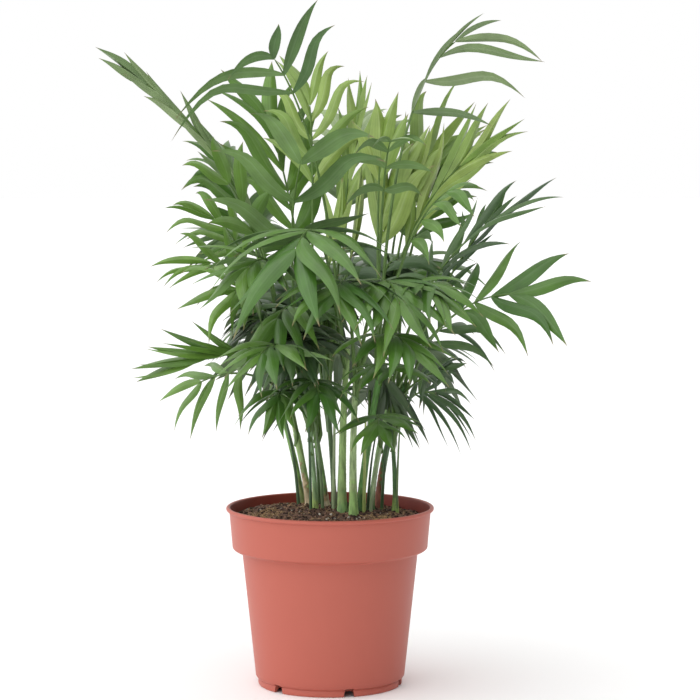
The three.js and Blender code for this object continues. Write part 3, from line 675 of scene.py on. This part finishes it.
class PALM_OT_make_pot(bpy.types.Operator):
    """Moulds the nursery pot: beaded lip, wide collar, tapered body and notched foot"""

    bl_idname = "palm.make_pot"
    bl_label = "Pot"

    def execute(self, context):
        settings = context.scene.palm_pot
        lip, top = settings.lip_radius / MM, settings.height / MM
        shelf = top - COLLAR
        # radius and height: the pad in the middle of the base, the raised base, the foot ring,
        # the groove over it, the tapered wall, the rounded step and the collar
        outside = (
            [(2, 0), (12, 0), (13, 0.8), (14, 2.4), (38.6, 2.4)]
            + [(39.6, 1.6), (40.2, 0.3), (41.0, 0), (41.6, 0.5), (41.7, 1.0), (41.7, 3.4)]
            + [(41.4, 3.9), (42.6, 4.6), (43.1, 5.4), (43.4, 8)]
            + [(lerp(43.4, 50.7, t), lerp(8, shelf - 1.2, t)) for t in (0.25, 0.5, 0.75, 1)]
            + arc(52.4, shelf - 1.2, 1.6, 180, 100, 5)
            + [(55.2, shelf + 1.0)]
            + arc(55.0, shelf + 2.6, 1.4, -60, 0, 5)
            + [(lerp(56.5, 58.2, t), lerp(shelf + 4, top - 2.4, t)) for t in (0.3, 0.6, 1)]
        )
        bead = arc(lip - 1.2, top - 1.2, 1.2, -80, 180, 14)
        inside = [
            (lip - 2.6, top - 2.6), (56.9, top - 8), (55.4, shelf + 3.6), (54.6, shelf + 2.6),
            (51.6, shelf + 1.4), (49.8, shelf - 0.6), (46, 40), (41.6, 6), (40.6, 4.2), (30, 4),
            (2, 4),
        ]
        pot = pull_lathe("nursery_pot", outside + bead + inside, 144)
        self.cut_notches(pot)
        # the second copy of the plastic is darker still, painted shade for the wall inside the pot
        dress(
            pot, 32,
            moulded_polypropylene("moulded_polypropylene_terracotta", settings.plastic, 0.93),
            moulded_polypropylene("moulded_polypropylene_painted_shade_inside", settings.plastic_inside_painted_shade, 0.7),
        )
        # the second material, the plastic darkened with painted shade for the inside of the pot,
        # goes on the faces that look inwards, between the floor and the bead
        for face in pot.data.polygons:
            inward = face.normal.xy.dot(face.center.xy) < 0
            radius, high = face.center.xy.length / MM, face.center.z / MM
            if inward and high > 4.5 and radius < lip - 2.2:
                face.material_index = 1
        keep(pot, "pot", "pot")
        return {"FINISHED"}

    def cut_notches(self, pot):
        """Cuts the drainage notches up through the foot, each narrower at its top."""
        width, depth, height = (side * MM for side in NOTCH_SIZE)
        for k in range(NOTCHES):
            angle = math.radians(FIRST_NOTCH + 360 / NOTCHES * k)
            clear_selection()
            bpy.ops.mesh.primitive_cube_add(size=1, location=(0, 0, 0))
            cutter = bpy.context.object
            cutter.scale = (width, depth, height)
            bpy.ops.object.transform_apply(location=False, rotation=False, scale=True)
            bpy.ops.object.mode_set(mode="EDIT")
            bpy.ops.mesh.select_all(action="DESELECT")
            bpy.ops.object.mode_set(mode="OBJECT")
            for vertex in cutter.data.vertices:
                vertex.select = vertex.co.z > 0
            bpy.ops.object.mode_set(mode="EDIT")
            bpy.ops.transform.resize(value=(0.66, 1, 1), center_override=(0, 0, height / 2))
            bpy.ops.mesh.select_all(action="SELECT")
            bpy.ops.mesh.bevel(offset=0.5 * MM, segments=2, affect="EDGES")
            bpy.ops.object.mode_set(mode="OBJECT")
            out = NOTCH_RADIUS * MM
            cutter.location = (out * math.sin(angle), -out * math.cos(angle), 1.5 * MM)
            cutter.rotation_euler = (0, 0, angle)
            bpy.ops.object.transform_apply(location=True, rotation=True, scale=True)
            clear_selection()
            pot.select_set(True)
            bpy.context.view_layer.objects.active = pot
            cut = pot.modifiers.new("notch", "BOOLEAN")
            cut.operation = "DIFFERENCE"
            cut.object = cutter
            cut.solver = "EXACT"
            bpy.ops.object.modifier_apply(modifier=cut.name)
            bpy.data.objects.remove(cutter)


# ------------------------------------------------------------------ potting mix
def soil_height(x, y, mound):
    """Height of the heaped mix at a place, millimetres."""
    heap = mound * math.exp(-((x + 6) ** 2 + (y - 2) ** 2) / (2 * 26**2))
    # a smaller heap at the left and one at the front right
    side = 2.2 * math.exp(-((x + 34) ** 2 + (y - 8) ** 2) / (2 * 14**2))
    side += 1.6 * math.exp(-((x - 22) ** 2 + (y + 22) ** 2) / (2 * 13**2))
    rough = 1.5 * noise.noise(Vector((x * 0.16, y * 0.16, 3.1)))
    rough += 0.7 * noise.noise(Vector((x * 0.5, y * 0.5, 8)))
    # it falls away over the last 12 mm before the wall
    fall = max(0.0, math.hypot(x, y) - 44) * 0.1
    return SOIL_TOP - 2.6 + heap + side + rough - fall


class PALM_OT_fill_soil(bpy.types.Operator):
    """Fills the pot with a heaped, crumbly potting mix"""

    bl_idname = "palm.fill_soil"
    bl_label = "Potting mix"

    def execute(self, context):
        settings = context.scene.palm_soil
        mound = settings.mound / MM
        shelf = POT_HIGH.z / MM - COLLAR
        # the root ball up to its edge at the wall, then a flat top in many rings, which is heaped
        edge, flat, rings = 96, 97, 46
        profile = [(2, 4.4), (39.8, 4.4), (45, 40), (49.0, shelf), (53.4, shelf + 4.4)]
        profile.append((MIX_RIM, edge))
        profile += [(MIX_RIM * (1 - i / rings), flat) for i in range(1, rings - 1)]
        mix = pull_lathe("potting_mix", profile, 160)
        for vertex in mix.data.vertices:
            x, y, z = vertex.co / MM
            if z > edge - 1 and math.hypot(x, y) < MIX_RIM + 0.2:
                fine = noise.noise(Vector((x * 1.1, y * 1.1, 1))) * 0.55
                vertex.co.z = (soil_height(x, y, mound) + fine) * MM
        dress(mix, 60, potting_mix(settings.dark, settings.light))
        keep(mix, "soil", "soil")
        return {"FINISHED"}


class PALM_OT_strew_grains(bpy.types.Operator):
    """Strews perlite, crumbs of peat and coir fibres over the mix"""

    bl_idname = "palm.strew_grains"
    bl_label = "Perlite and crumbs"

    def execute(self, context):
        settings = context.scene.palm_soil
        mound = settings.mound / MM
        # piece, how many, smallest and largest size, seed, material
        kinds = [
            ("perlite_grains", 110, (0.35, 0.95), 11,
             loose_grain("perlite", settings.perlite, 0.75, 900.0, 0.9)),
            ("peat_crumbs", 1300, (0.35, 1.15), 23,
             loose_grain("dark_peat_crumbs", settings.dark, 0.5, 700.0, 0.95)),
            ("bark_crumbs", 700, (0.35, 1.05), 37,
             loose_grain("dry_bark_crumbs", settings.light, 0.5, 700.0, 0.9)),
        ]
        for kind in kinds:
            self.strew(*kind, mound)
        self.lay_fibres(settings, mound)
        return {"FINISHED"}

    def strew(self, name, count, sizes, seed, material, mound):
        """One joined mesh of lumps, each a turned and squashed copy of one icosahedron."""
        clear_selection()
        bpy.ops.mesh.primitive_ico_sphere_add(subdivisions=1, radius=1)
        lump = bpy.context.object
        shape = np.array([v.co for v in lump.data.vertices])
        sides = np.array([p.vertices for p in lump.data.polygons])
        bpy.data.objects.remove(lump)
        random = scatter(seed)
        points, faces = [], []
        for _ in range(count):
            radius = MIX_REACH * math.sqrt(abs(next(random)))
            angle = math.pi * next(random)
            x, y = radius * math.cos(angle), radius * math.sin(angle)
            size = lerp(sizes[0], sizes[1], abs(next(random)) ** 2)
            spin = math.pi * next(random)
            turn = Matrix.Rotation(spin, 3, Vector((next(random), next(random), 1.1)))
            squash = np.array(
                [1 + 0.4 * next(random), 0.8 + 0.3 * next(random), 0.7 + 0.2 * next(random)]
            )
            bumpy = 1 + 0.22 * np.array([next(random) for _ in range(len(shape))])[:, None]
            grain = (shape * bumpy * squash * size) @ np.array(turn).T
            faces.append(sides + len(points) * len(shape))
            points.append(grain + [x, y, soil_height(x, y, mound) + 0.25 * size])
        piece = joined_mesh(name, points, np.concatenate(faces).tolist())
        piece.data.materials.append(material)
        keep(piece, "soil")

    def lay_fibres(self, settings, mound):
        """Thin pale fibres, half sunk in the mix; the first ones are matted into two clumps."""
        fibres, matted, steps = 560, 180, 6
        random = scatter(71)
        tubes = []
        for k in range(fibres):
            radius, angle = (MIX_REACH - 2) * math.sqrt(abs(next(random))), math.pi * next(random)
            x, y = radius * math.cos(angle), radius * math.sin(angle)
            if k < matted and k % 2:
                x, y = 29 + x * 0.16, -25 + y * 0.16
            elif k < matted:
                x, y = -38 + x * 0.18, -10 + y * 0.22
            heading, long = math.pi * next(random), 2 + 6 * abs(next(random)) ** 1.5
            bend, rise = next(random), 1.2 * abs(next(random))
            rings = []
            for i in range(steps):
                t = i / (steps - 1)
                a = heading + bend * t
                px, py = x + long * t * math.cos(a), y + long * t * math.sin(a)
                if math.hypot(px, py) > MIX_REACH:
                    px, py = px * 0.97, py * 0.97
                pz = soil_height(px, py, mound) + 0.1 + rise * math.sin(math.pi * t)
                half = (0.22 if k < matted else 0.16) * (1 - 0.6 * t)
                across = np.array([-math.sin(a), math.cos(a), 0]) * half
                rings.append([[px, py, pz] + across, [px, py, pz + half], [px, py, pz] - across])
            tubes.append((np.array(rings), np.zeros((steps, 3, 2))))
        piece = tube_mesh("coir_fibres", tubes)
        piece.data.materials.append(loose_grain("coir_fibre", settings.fibre, 0.6, 400.0, 0.8))
        keep(piece, "soil")


# ------------------------------------------------------------------ canes
def stem_curve(stem):
    """The cane's quadratic curve from its foot in the mix to its top."""
    return (*stem.foot, SOIL_TOP + CLEARANCE), stem.bow, stem.top


def stem_radius(stem, t):
    """Radius of the cane at the share t of its height, with its flared foot."""
    height = t * (stem.top[2] - SOIL_TOP)
    return lerp(stem.low_radius, stem.top_radius, t) * (1 + 0.35 * math.exp(-height / 5))


def circle(centre, along, radii):
    """A ring of points round an axis, one radius for each side."""
    a = unit(np.array([1.0, 0, 0]) - along * along[0])
    b = np.cross(along, a)
    angles = 2 * math.pi * np.arange(len(radii)) / len(radii)
    return centre + radii[:, None] * (np.cos(angles)[:, None] * a + np.sin(angles)[:, None] * b)


class PALM_OT_grow_canes(bpy.types.Operator):
    """Grows the green canes with their leaf scars, sheaths and papery brown feet"""

    bl_idname = "palm.grow_canes"
    bl_label = "Canes"

    def execute(self, context):
        # the first rings run down into the mix
        sides, count, buried = 14, 110, 3
        rust = np.array(linear("#74452c"))
        tubes = []
        for index, stem in enumerate(STEMS):
            random = scatter(index * 131 + 17)
            curve = stem_curve(stem)
            tall = curve[2][2] - curve[0][2]
            # leaf scars about 27 mm apart, on the lower three quarters
            scars = []
            height = 3 + 2 * next(random)
            while height < tall * 0.75:
                scars.append(height)
                height += 27 + 9 * next(random)
            shares = [frond.share for frond in FRONDS if frond.stem == index]
            foot, cane = np.array(linear(stem.low_colour)), np.array(linear(stem.colour))
            browning = 0.75 if stem.dry > 18 else 0.15
            rings, uv, tone = [], [], []
            for i in range(count + 1):
                t = max(0.0, (i - buried) / (count - buried))
                point, along = bezier(curve, t)
                if i < buried:
                    point, along = np.array(curve[0]) - UP * (buried - i) * 2.5, UP
                height = t * tall
                scar = sum(math.exp(-(((height - s) / 0.45) ** 2)) for s in scars)
                above = [height - s for s in scars if height >= s]
                step = sum(0.05 * math.exp(-a / 2.2) for a in above)
                # a sheath swells the cane just below each leaf stalk
                below = [(share - t) * tall for share in shares]
                swells = [0.22 * math.exp(-(((b - 2) / 9) ** 2)) for b in below if b > 0]
                sheath = max(swells, default=0.0)
                radii = np.full(sides, stem_radius(stem, t) * (1 + sheath + step * 0.4))
                radii = radii - 0.05 * min(1.0, scar)
                radii *= [1 + 0.03 * next(random) for _ in range(sides)]
                rings.append(circle(point, along, radii))
                uv.append([[k / sides, height] for k in range(sides)])
                edge = stem.dry * (0.8 + 0.5 * noise.noise(Vector((index * 7.3, i * 0.3, 0))))
                streaks = []
                for k in range(sides):
                    # the dry sheath is torn: its edge climbs on one side, and is brown there
                    torn = edge * (1 + 0.5 * math.cos(2 * math.pi * k / sides + 2.2 + index * 0.9))
                    near = 1 / (1 + math.exp((height - torn) / 1.6))
                    rim = math.exp(-(((height - torn) / 3.2) ** 2)) * browning
                    mixed = lerp(lerp(cane, foot, near), rust, rim) * (1 - 0.1 * min(1.0, scar))
                    fleck = noise.noise(Vector((k * 0.9, height * 0.12, index * 3.7)))
                    streaks.append(mixed * (1 + 0.32 * fleck))
                tone.append(streaks)
            tubes.append((np.array(rings), np.array(uv), np.array(tone)))
        skin = palm_cane("green_palm_cane", "cane", 9.0)
        canes = tube_mesh("palm_canes", tubes, "cane")
        dress(canes, 50, skin)
        keep(canes, "stem", *[stem.name for stem in STEMS])
        self.raise_stalks(skin)
        return {"FINISHED"}

    def raise_stalks(self, skin):
        """Thin leaf stalks that rise from the mix between the canes."""
        sides, count = 8, 24
        tubes = []
        for index, (foot, top, radius, shade) in enumerate(STALKS):
            start = (*foot, SOIL_TOP - 8)
            bow = [lerp(a, b, t) for a, b, t in zip(start, top, (0.2, 0.2, 0.6))]
            rings, uv, tone = [], [], []
            for i in range(count + 1):
                t = i / count
                point, along = bezier((start, bow, top), t)
                rings.append(circle(point, along, np.full(sides, radius * lerp(1.25, 0.5, t))))
                uv.append([[k / sides, t * (top[2] - start[2])] for k in range(sides)])
                fleck = 1 + 0.2 * noise.noise(Vector((index * 5.1, t * 6, 0)))
                tone.append(np.tile(np.array(linear(shade)) * fleck, (sides, 1)))
            tubes.append((np.array(rings), np.array(uv), np.array(tone)))
        stalks = tube_mesh("thin_stalks", tubes, "cane")
        dress(stalks, 60, skin)
        keep(stalks, "stem")


# ------------------------------------------------------------------ fronds
# how far short of the rib's end the last pair of leaflets roots, millimetres
ROOT_SHORT = 2.4
# radius of a rib where it leaves its cane
RIB_RADIUS = 1.15
# turning by the one and stepping by the other spreads any number of sprays evenly
GOLDEN_ANGLE, GOLDEN_SHARE = 137.5, 0.618


def inner_fronds():
    """Shaded sprays deep in the crown, set round it by the golden angle. Its right side stays
    open, and so does the place before the middle canes, which show there."""
    places, lowest, spread = 44, 176, 76
    rows = []
    random = scatter(4243)
    for k in range(places):
        turn = math.radians(GOLDEN_ANGLE * k)
        high = lowest + spread * ((k * GOLDEN_SHARE) % 1)
        reach = (30 + 14 * next(random)) * (1 if high > 200 else 0.8)
        x, y = 8 + reach * math.cos(turn), 10 + reach * math.sin(turn)
        before_canes = y < 6 and x > -2 and high < 226
        if x > 26 or before_canes:
            continue
        # it leaves the cane whose top is nearest
        inward = (x * 0.6, y * 0.6 + 4)
        stem = min(range(len(STEMS)), key=lambda i: math.dist(STEMS[i].top[:2], inward))
        top = STEMS[stem].top
        bow = (lerp(top[0], x, 0.35), lerp(top[1], y, 0.35), high + 16 + 6 * next(random))
        tip = (x + 16 * math.cos(turn), y + 14 * math.sin(turn), high - 8 + 8 * next(random))
        share = 0.6 + 0.35 * abs(next(random))
        roll = 20 * next(random)
        rows.append(Frond(
            f"inner_{k}", stem, share, bow, tip, 0.45, 6, 36, 7.5, 66, 26, 0, roll, 0.4, 0.2
        ))
    return rows


# only the fronds of FRONDS stand for solids
INNER = inner_fronds()
SPRAYS = FRONDS + INNER + HEART


def rib_curve(frond):
    """The rib's quadratic curve; it starts just clear of the cane."""
    stem = STEMS[frond.stem]
    on, along = bezier(stem_curve(stem), frond.share)
    away = np.array(frond.bow, float) - on
    away = unit(away - along * (away @ along))
    start = on + away * (stem_radius(stem, frond.share) + RIB_RADIUS + CLEARANCE)
    return tuple(start), frond.bow, frond.tip


def rib_frame(curve, u, roll):
    """The rib's point, direction, and the blade's sideways and upward directions there."""
    point, along = bezier(curve, u)
    heading = np.array(curve[2], float) - np.array(curve[0], float)
    heading[2] = 0
    side = np.cross(unit(heading), UP)
    side = unit(side - along * (side @ along))
    side = turned(side, along, math.radians(roll))
    return point, along, side, np.cross(side, along)


def rib_length(curve):
    """Length of a rib, from 40 short chords."""
    points = np.array([bezier(curve, i / 40)[0] for i in range(41)])
    return np.linalg.norm(np.diff(points, axis=0), axis=1).sum()


def leaflets_of(frond, index):
    """Where each leaflet of a frond roots and points, by the rule that the solids follow."""
    curve = rib_curve(frond)
    root = ROOT_SHORT / rib_length(curve)
    random = scatter(index * 7919 + 101)
    grown = []
    for k in range(frond.pairs):
        place = k / (frond.pairs - 1)
        u = frond.bare + (1 - root - frond.bare) * place
        point, along, side, over = rib_frame(curve, u, frond.roll)
        for hand in (-1, 1):
            angle = math.radians(lerp(frond.opening, frond.closing, place) + 5 * next(random))
            raised = math.radians(frond.lift + 7 * next(random))
            swell = 0.8 + 0.3 * math.sin(math.pi * (0.12 + 0.76 * place))
            odd_hand, share, wider, lower = LOPSIDED.get(frond.name, (0, 1, 0, 0))
            if hand != odd_hand:
                share, wider, lower = 1, 0, 0
            finer = FINER.get(frond.name, (AS_GROWN, AS_GROWN))
            finer_share, opened, arch, sag = finer[hand > 0]
            angle += math.radians(wider + opened)
            direction = (
                along * math.cos(angle)
                + side * hand * math.sin(angle) * math.cos(raised)
                + over * math.sin(angle) * math.sin(raised)
            )
            size = finer_share * share * frond.size * swell * (1 - frond.taper * place)
            grown.append({
                "root": point,
                "pair": k,
                "direction": direction,
                "along": along,
                "face": over,
                "hand": hand,
                "opening": angle,
                "size": size * (1 + 0.07 * next(random)),
                "width": frond.width * (1 + 0.08 * next(random)),
                "droop": frond.droop * (1 + 0.3 * next(random)) + lower + sag,
                "arch": arch,
            })
    return grown


# ------------------------------------------------------------------ leaflets
# where the rings lie along a leaflet
STATIONS = np.array([0, 0.04, 0.1, 0.18, 0.28, 0.38, 0.48, 0.58, 0.68, 0.78, 0.87, 0.94, 1.0])
# the points round a ring: their place across the blade, and whether they lie under it
ACROSS = np.array([-1, -0.5, 0, 0.5, 1, 0.5, 0, -0.5])
UNDERNEATH = np.array([0, 0, 0, 0, 0, 1, 1, 1])
# a leaflet that opens this far from its rib, degrees, is free; nearer to it, it is half furled
FREE_FROM = 28
# thickness of the blade, millimetres
BLADE = 0.3


def outline(v):
    """Share of the leaflet's full half width along it: narrow root, widest at 36% of its length,
    and a long drawn-out point."""
    rising = 0.2 + 0.8 * np.sin(np.clip(v / 0.36, 0, 1) * math.pi / 2) ** 0.9
    falling = np.cos(np.clip((v - 0.36) / 0.64, 0, 1) ** 1.15 * math.pi / 2) ** 1.2
    return np.where(v < 0.36, rising, falling)


def leaflet_rings(leaf, random):
    """Rings of eight points round a leaflet: five over the blade, folded along its midrib, and
    three under it."""
    v = STATIONS[:, None]
    size = leaf["size"]
    sweep = unit(leaf["along"] - leaf["direction"] * (leaf["along"] @ leaf["direction"]) + 1e-9)
    # a leaflet pressed to the rib lies straight and half furled
    free = min(1.0, abs(leaf["opening"]) / math.radians(FREE_FROM))
    half = leaf["width"] / 2 * outline(STATIONS) * lerp(0.78, 1, free)
    wave = free * 0.055 * next(random)
    arch = leaf["arch"] * free * (0.1 + 0.2 * next(random))
    curl = free * (0.05 + 0.08 * next(random))
    half *= 1 + 0.16 * next(random)
    line = (
        leaf["root"]
        + leaf["direction"] * size * v
        - UP * size * leaf["droop"] * v**2
        + UP * size * (arch * v * (1 - v) - curl * np.clip((v - 0.55) / 0.45, 0, 1) ** 2)
        + sweep * size * (0.035 * np.sin(math.pi * v) + wave * np.sin(2 * math.pi * v))
    )
    ahead = np.gradient(line, STATIONS, axis=0)
    ahead /= np.linalg.norm(ahead, axis=1)[:, None]
    across = np.cross(ahead, leaf["face"])
    across /= np.linalg.norm(across, axis=1)[:, None]
    over = np.cross(across, ahead)
    # pressed leaflets are turned by three different amounts, so that neighbours lie apart
    folded = lerp(math.radians(20 + 9 * (leaf["pair"] % 3)), math.radians(8), free)
    twist = (free * math.radians(40) * next(random) * STATIONS + leaf["hand"] * folded)[:, None]
    across, over = (
        across * np.cos(twist) + over * np.sin(twist),
        over * np.cos(twist) - across * np.sin(twist),
    )
    line = line + over * (1 - free) * 0.6 * np.minimum(1, v * 12)
    fold = lerp(0.9, 0.34, free) + 0.12 * next(random)
    rings = []
    for s, under in zip(ACROSS, UNDERNEATH):
        drop = -fold * half * abs(s) ** 1.4 - under * BLADE * np.minimum(1, half / 1.2)
        rings.append(line + across * (s * half)[:, None] + over * drop[:, None])
    return np.stack(rings, 1)


class PALM_OT_grow_ribs(bpy.types.Operator):
    """Grows the stalk and rib of every frond out of its cane"""

    bl_idname = "palm.grow_ribs"
    bl_label = "Frond ribs"

    def execute(self, context):
        base = np.array(context.scene.palm_leaf.rib)
        # the first rings run back into the cane and down inside it
        sides, count, inside = 8, 30, 4
        tubes = []
        for index, frond in enumerate(SPRAYS):
            curve = rib_curve(frond)
            random = scatter(index * 71 + 5)
            tint = base * (1 + 0.22 * next(random))
            long = rib_length(curve)
            heart = bezier(stem_curve(STEMS[frond.stem]), frond.share)[0] - UP * 7
            rings, uv = [], []
            for i in range(-inside, count + 1):
                u = max(0, i) / count
                point, along, _, _ = rib_frame(curve, u, frond.roll)
                radius = lerp(RIB_RADIUS, 0.4, u**0.8)
                if i < 0:
                    share = -i / inside
                    point = lerp(point, heart, share**1.2)
                    radius = lerp(RIB_RADIUS, 1.5, share)
                # every other side is a little flatter, which leaves ridges
                radii = np.full(sides, radius) * (1 - 0.16 * (np.arange(sides) % 2))
                if i == count:
                    radii *= 0.1
                rings.append(circle(point, along, radii))
                uv.append([[k / sides, u * long] for k in range(sides)])
            tones = np.tile(tint, (len(rings), sides, 1))
            tubes.append((np.array(rings), np.array(uv), tones))
        ribs = tube_mesh("frond_ribs", tubes, "rib")
        dress(ribs, 60, palm_cane("green_palm_stalk", "rib", 5.0))
        keep(ribs, "frond")
        return {"FINISHED"}


class PALM_OT_grow_leaflets(bpy.types.Operator):
    """Grows the leaflets of every frond, one joined piece for each shade of green"""

    bl_idname = "palm.grow_leaflets"
    bl_label = "Leaflets"

    def execute(self, context):
        settings = context.scene.palm_leaf
        material = palm_leaflet("waxy_palm_leaflet", settings.dry)
        green = [frond.name for frond in FRONDS if frond.name not in PALE + SOFT + PAINTED_SHADE]
        inner = [frond.name for frond in INNER]
        shades = [
            # young sprays, and back sprays made paler with painted light shining through them
            ("young_and_backlit_leaflets", PALE, settings.pale_light, settings.pale_dark),
            ("upper_leaflets", SOFT, settings.soft_light, settings.soft_dark),
            # the shaded and the inner leaflets take the greens with painted shade
            ("shaded_leaflets", PAINTED_SHADE, settings.painted_shade_light, settings.painted_shade_dark),
            ("green_leaflets", green, settings.green_light, settings.green_dark),
            ("inner_leaflets", inner, settings.painted_shade_light, settings.painted_shade_dark),
        ]
        for name, chosen, light, dark in shades:
            rows = [(index, frond) for index, frond in enumerate(SPRAYS) if frond.name in chosen]
            self.grow(name, rows, np.array(light), np.array(dark), material)
        return {"FINISHED"}

    def grow(self, name, rows, light, dark, material):
        """One joined mesh of the leaflets of some fronds."""
        tubes = []
        sides = len(ACROSS)
        uv = np.stack(np.meshgrid((ACROSS + 1) / 2, STATIONS), 2)
        for index, frond in rows:
            random = scatter(index * 977 + 31)
            # a random tone for each frond, with the painted light or shade of the lit and the
            # shaded fronds added
            frond_tone = 0.46 + 0.3 * next(random) + PAINTED_LIGHT.get(frond.name, 0)
            for leaf in leaflets_of(frond, index):
                rings = leaflet_rings(leaf, random)
                tone = min(1.8, max(-0.3, frond_tone + 0.5 * next(random)))
                tint = lerp(dark, light, tone)
                tubes.append((rings, uv, np.tile(tint, (len(STATIONS), sides, 1))))
        piece = tube_mesh(name, tubes, "leaflet")
        # the last four faces of each ring are the leaflet's underside, and the cap isn't
        attribute = piece.data.attributes.new("underside", "FLOAT", "FACE")
        under = (np.arange((len(STATIONS) - 1) * sides + 1) % sides >= 4).astype(np.float32)
        under[-1] = 0
        attribute.data.foreach_set("value", np.tile(under, len(tubes)))
        dress(piece, 40, material)
        keep(piece, "frond", *[f"frond_{frond.name}" for _, frond in rows if frond in FRONDS])


# ------------------------------------------------------------------ stage
# metres, degrees and millimetres of lens: a floor so wide that its edge stays out of view, the
# key light's place and the width it is seen at, and the camera's place, fall and swing
FLOOR_RADIUS = 10
KEY_PLACE, KEY_WIDTH = (-1.55, -1.15, 2.0), 125
CAMERA_PLACE, CAMERA_FALL, CAMERA_SWING = (0, -1.5, 0.323), 4.92, -0.44
CAMERA_LENS, CAMERA_SENSOR = 134.7, 36
# the direction in which the sweep is brightest, behind the plant at the upper left
SWEEP_PLACE = (-0.72, 0.58, 0.38)


class PALM_OT_set_stage(bpy.types.Operator):
    """Lays a pale floor and sets the soft lights and the camera"""

    bl_idname = "palm.set_stage"
    bl_label = "Studio"

    def execute(self, context):
        settings = context.scene.palm_stage
        scene = context.scene
        clear_selection()
        bpy.ops.mesh.primitive_circle_add(
            vertices=96, radius=FLOOR_RADIUS, fill_type="NGON", location=(0, 0, 0)
        )
        floor = context.object
        floor.name = "floor"
        floor.data.materials.append(matt_floor(settings.floor))
        self.light_sweep(scene, settings)
        lamp = bpy.data.lights.new("key_softbox", "SUN")
        lamp.energy = settings.key
        lamp.angle = math.radians(KEY_WIDTH)
        holder = bpy.data.objects.new("key_softbox", lamp)
        scene.collection.objects.link(holder)
        holder.location = KEY_PLACE
        holder.rotation_euler = (-holder.location).to_track_quat("-Z", "Y").to_euler()
        view = bpy.data.cameras.new("camera")
        view.sensor_width = CAMERA_SENSOR
        view.lens = CAMERA_LENS
        camera = bpy.data.objects.new("camera", view)
        scene.collection.objects.link(camera)
        camera.location = CAMERA_PLACE
        camera.rotation_euler = (math.radians(90 - CAMERA_FALL), 0, math.radians(CAMERA_SWING))
        scene.camera = camera
        scene.view_settings.view_transform = "Standard"
        return {"FINISHED"}

    def light_sweep(self, scene, settings):
        """A white sweep behind the plant and a dimmer room before it."""
        world = bpy.data.worlds.new("white_sweep")
        world.use_nodes = True
        tree = world.node_tree
        towards = Vector(SWEEP_PLACE).normalized()
        gaze = add(tree, "TexCoord").outputs["Generated"]
        heading = add(tree, "VectorMath", {0: gaze, 1: towards}, operation="DOT_PRODUCT")
        # dim beyond 143 degrees off that direction, and full within 69 degrees of it
        level = add(tree, "MapRange", {
            "Value": heading.outputs["Value"], "From Min": -0.8, "From Max": 0.36,
            "To Min": settings.room, "To Max": 1.0,
        }, interpolation_type="SMOOTHSTEP")
        sweep = tree.nodes["Background"]
        sweep.inputs[0].default_value = settings.backdrop
        tree.links.new(level.outputs[0], sweep.inputs[1])
        scene.world = world


# ------------------------------------------------------------------ panel and start
class PALM_PT_sidebar(bpy.types.Panel):
    """The settings of each group, with the buttons that make its pieces"""

    bl_label = "Parlour palm"
    bl_idname = "PALM_PT_sidebar"
    bl_space_type = "VIEW_3D"
    bl_region_type = "UI"
    bl_category = "Parlour palm"

    def draw(self, context):
        for heading, group, operators in LISTED:
            box = self.layout.box()
            box.label(text=heading)
            settings = getattr(context.scene, group)
            for name in settings.__annotations__:
                box.prop(settings, name)
            for operator in operators:
                box.operator(operator.bl_idname)


LISTED = [
    ("Pot", "palm_pot", [PALM_OT_make_pot]),
    ("Potting mix", "palm_soil", [PALM_OT_fill_soil, PALM_OT_strew_grains]),
    ("Palm", "palm_leaf", [PALM_OT_grow_canes, PALM_OT_grow_ribs, PALM_OT_grow_leaflets]),
    ("Studio", "palm_stage", [PALM_OT_set_stage]),
]
GROUPS = {
    "palm_pot": PalmPotSettings,
    "palm_soil": PalmSoilSettings,
    "palm_leaf": PalmLeafSettings,
    "palm_stage": PalmStageSettings,
}


def register():
    """Adds the settings, the operators and the panel."""
    for name, group in GROUPS.items():
        bpy.utils.register_class(group)
        setattr(bpy.types.Scene, name, bpy.props.PointerProperty(type=group))
    for _, _, operators in LISTED:
        for operator in operators:
            bpy.utils.register_class(operator)
    bpy.utils.register_class(PALM_PT_sidebar)


def unregister():
    """Takes the panel, the operators and the settings away."""
    bpy.utils.unregister_class(PALM_PT_sidebar)
    for _, _, operators in LISTED:
        for operator in operators:
            bpy.utils.unregister_class(operator)
    for name, group in GROUPS.items():
        delattr(bpy.types.Scene, name)
        bpy.utils.unregister_class(group)


def main():
    """Builds the stage and the plant."""
    register()
    bpy.ops.palm.set_stage()
    bpy.ops.palm.make_pot()
    bpy.ops.palm.fill_soil()
    bpy.ops.palm.strew_grains()
    bpy.ops.palm.grow_canes()
    bpy.ops.palm.grow_ribs()
    bpy.ops.palm.grow_leaflets()


if __name__ == "__main__":
    main()
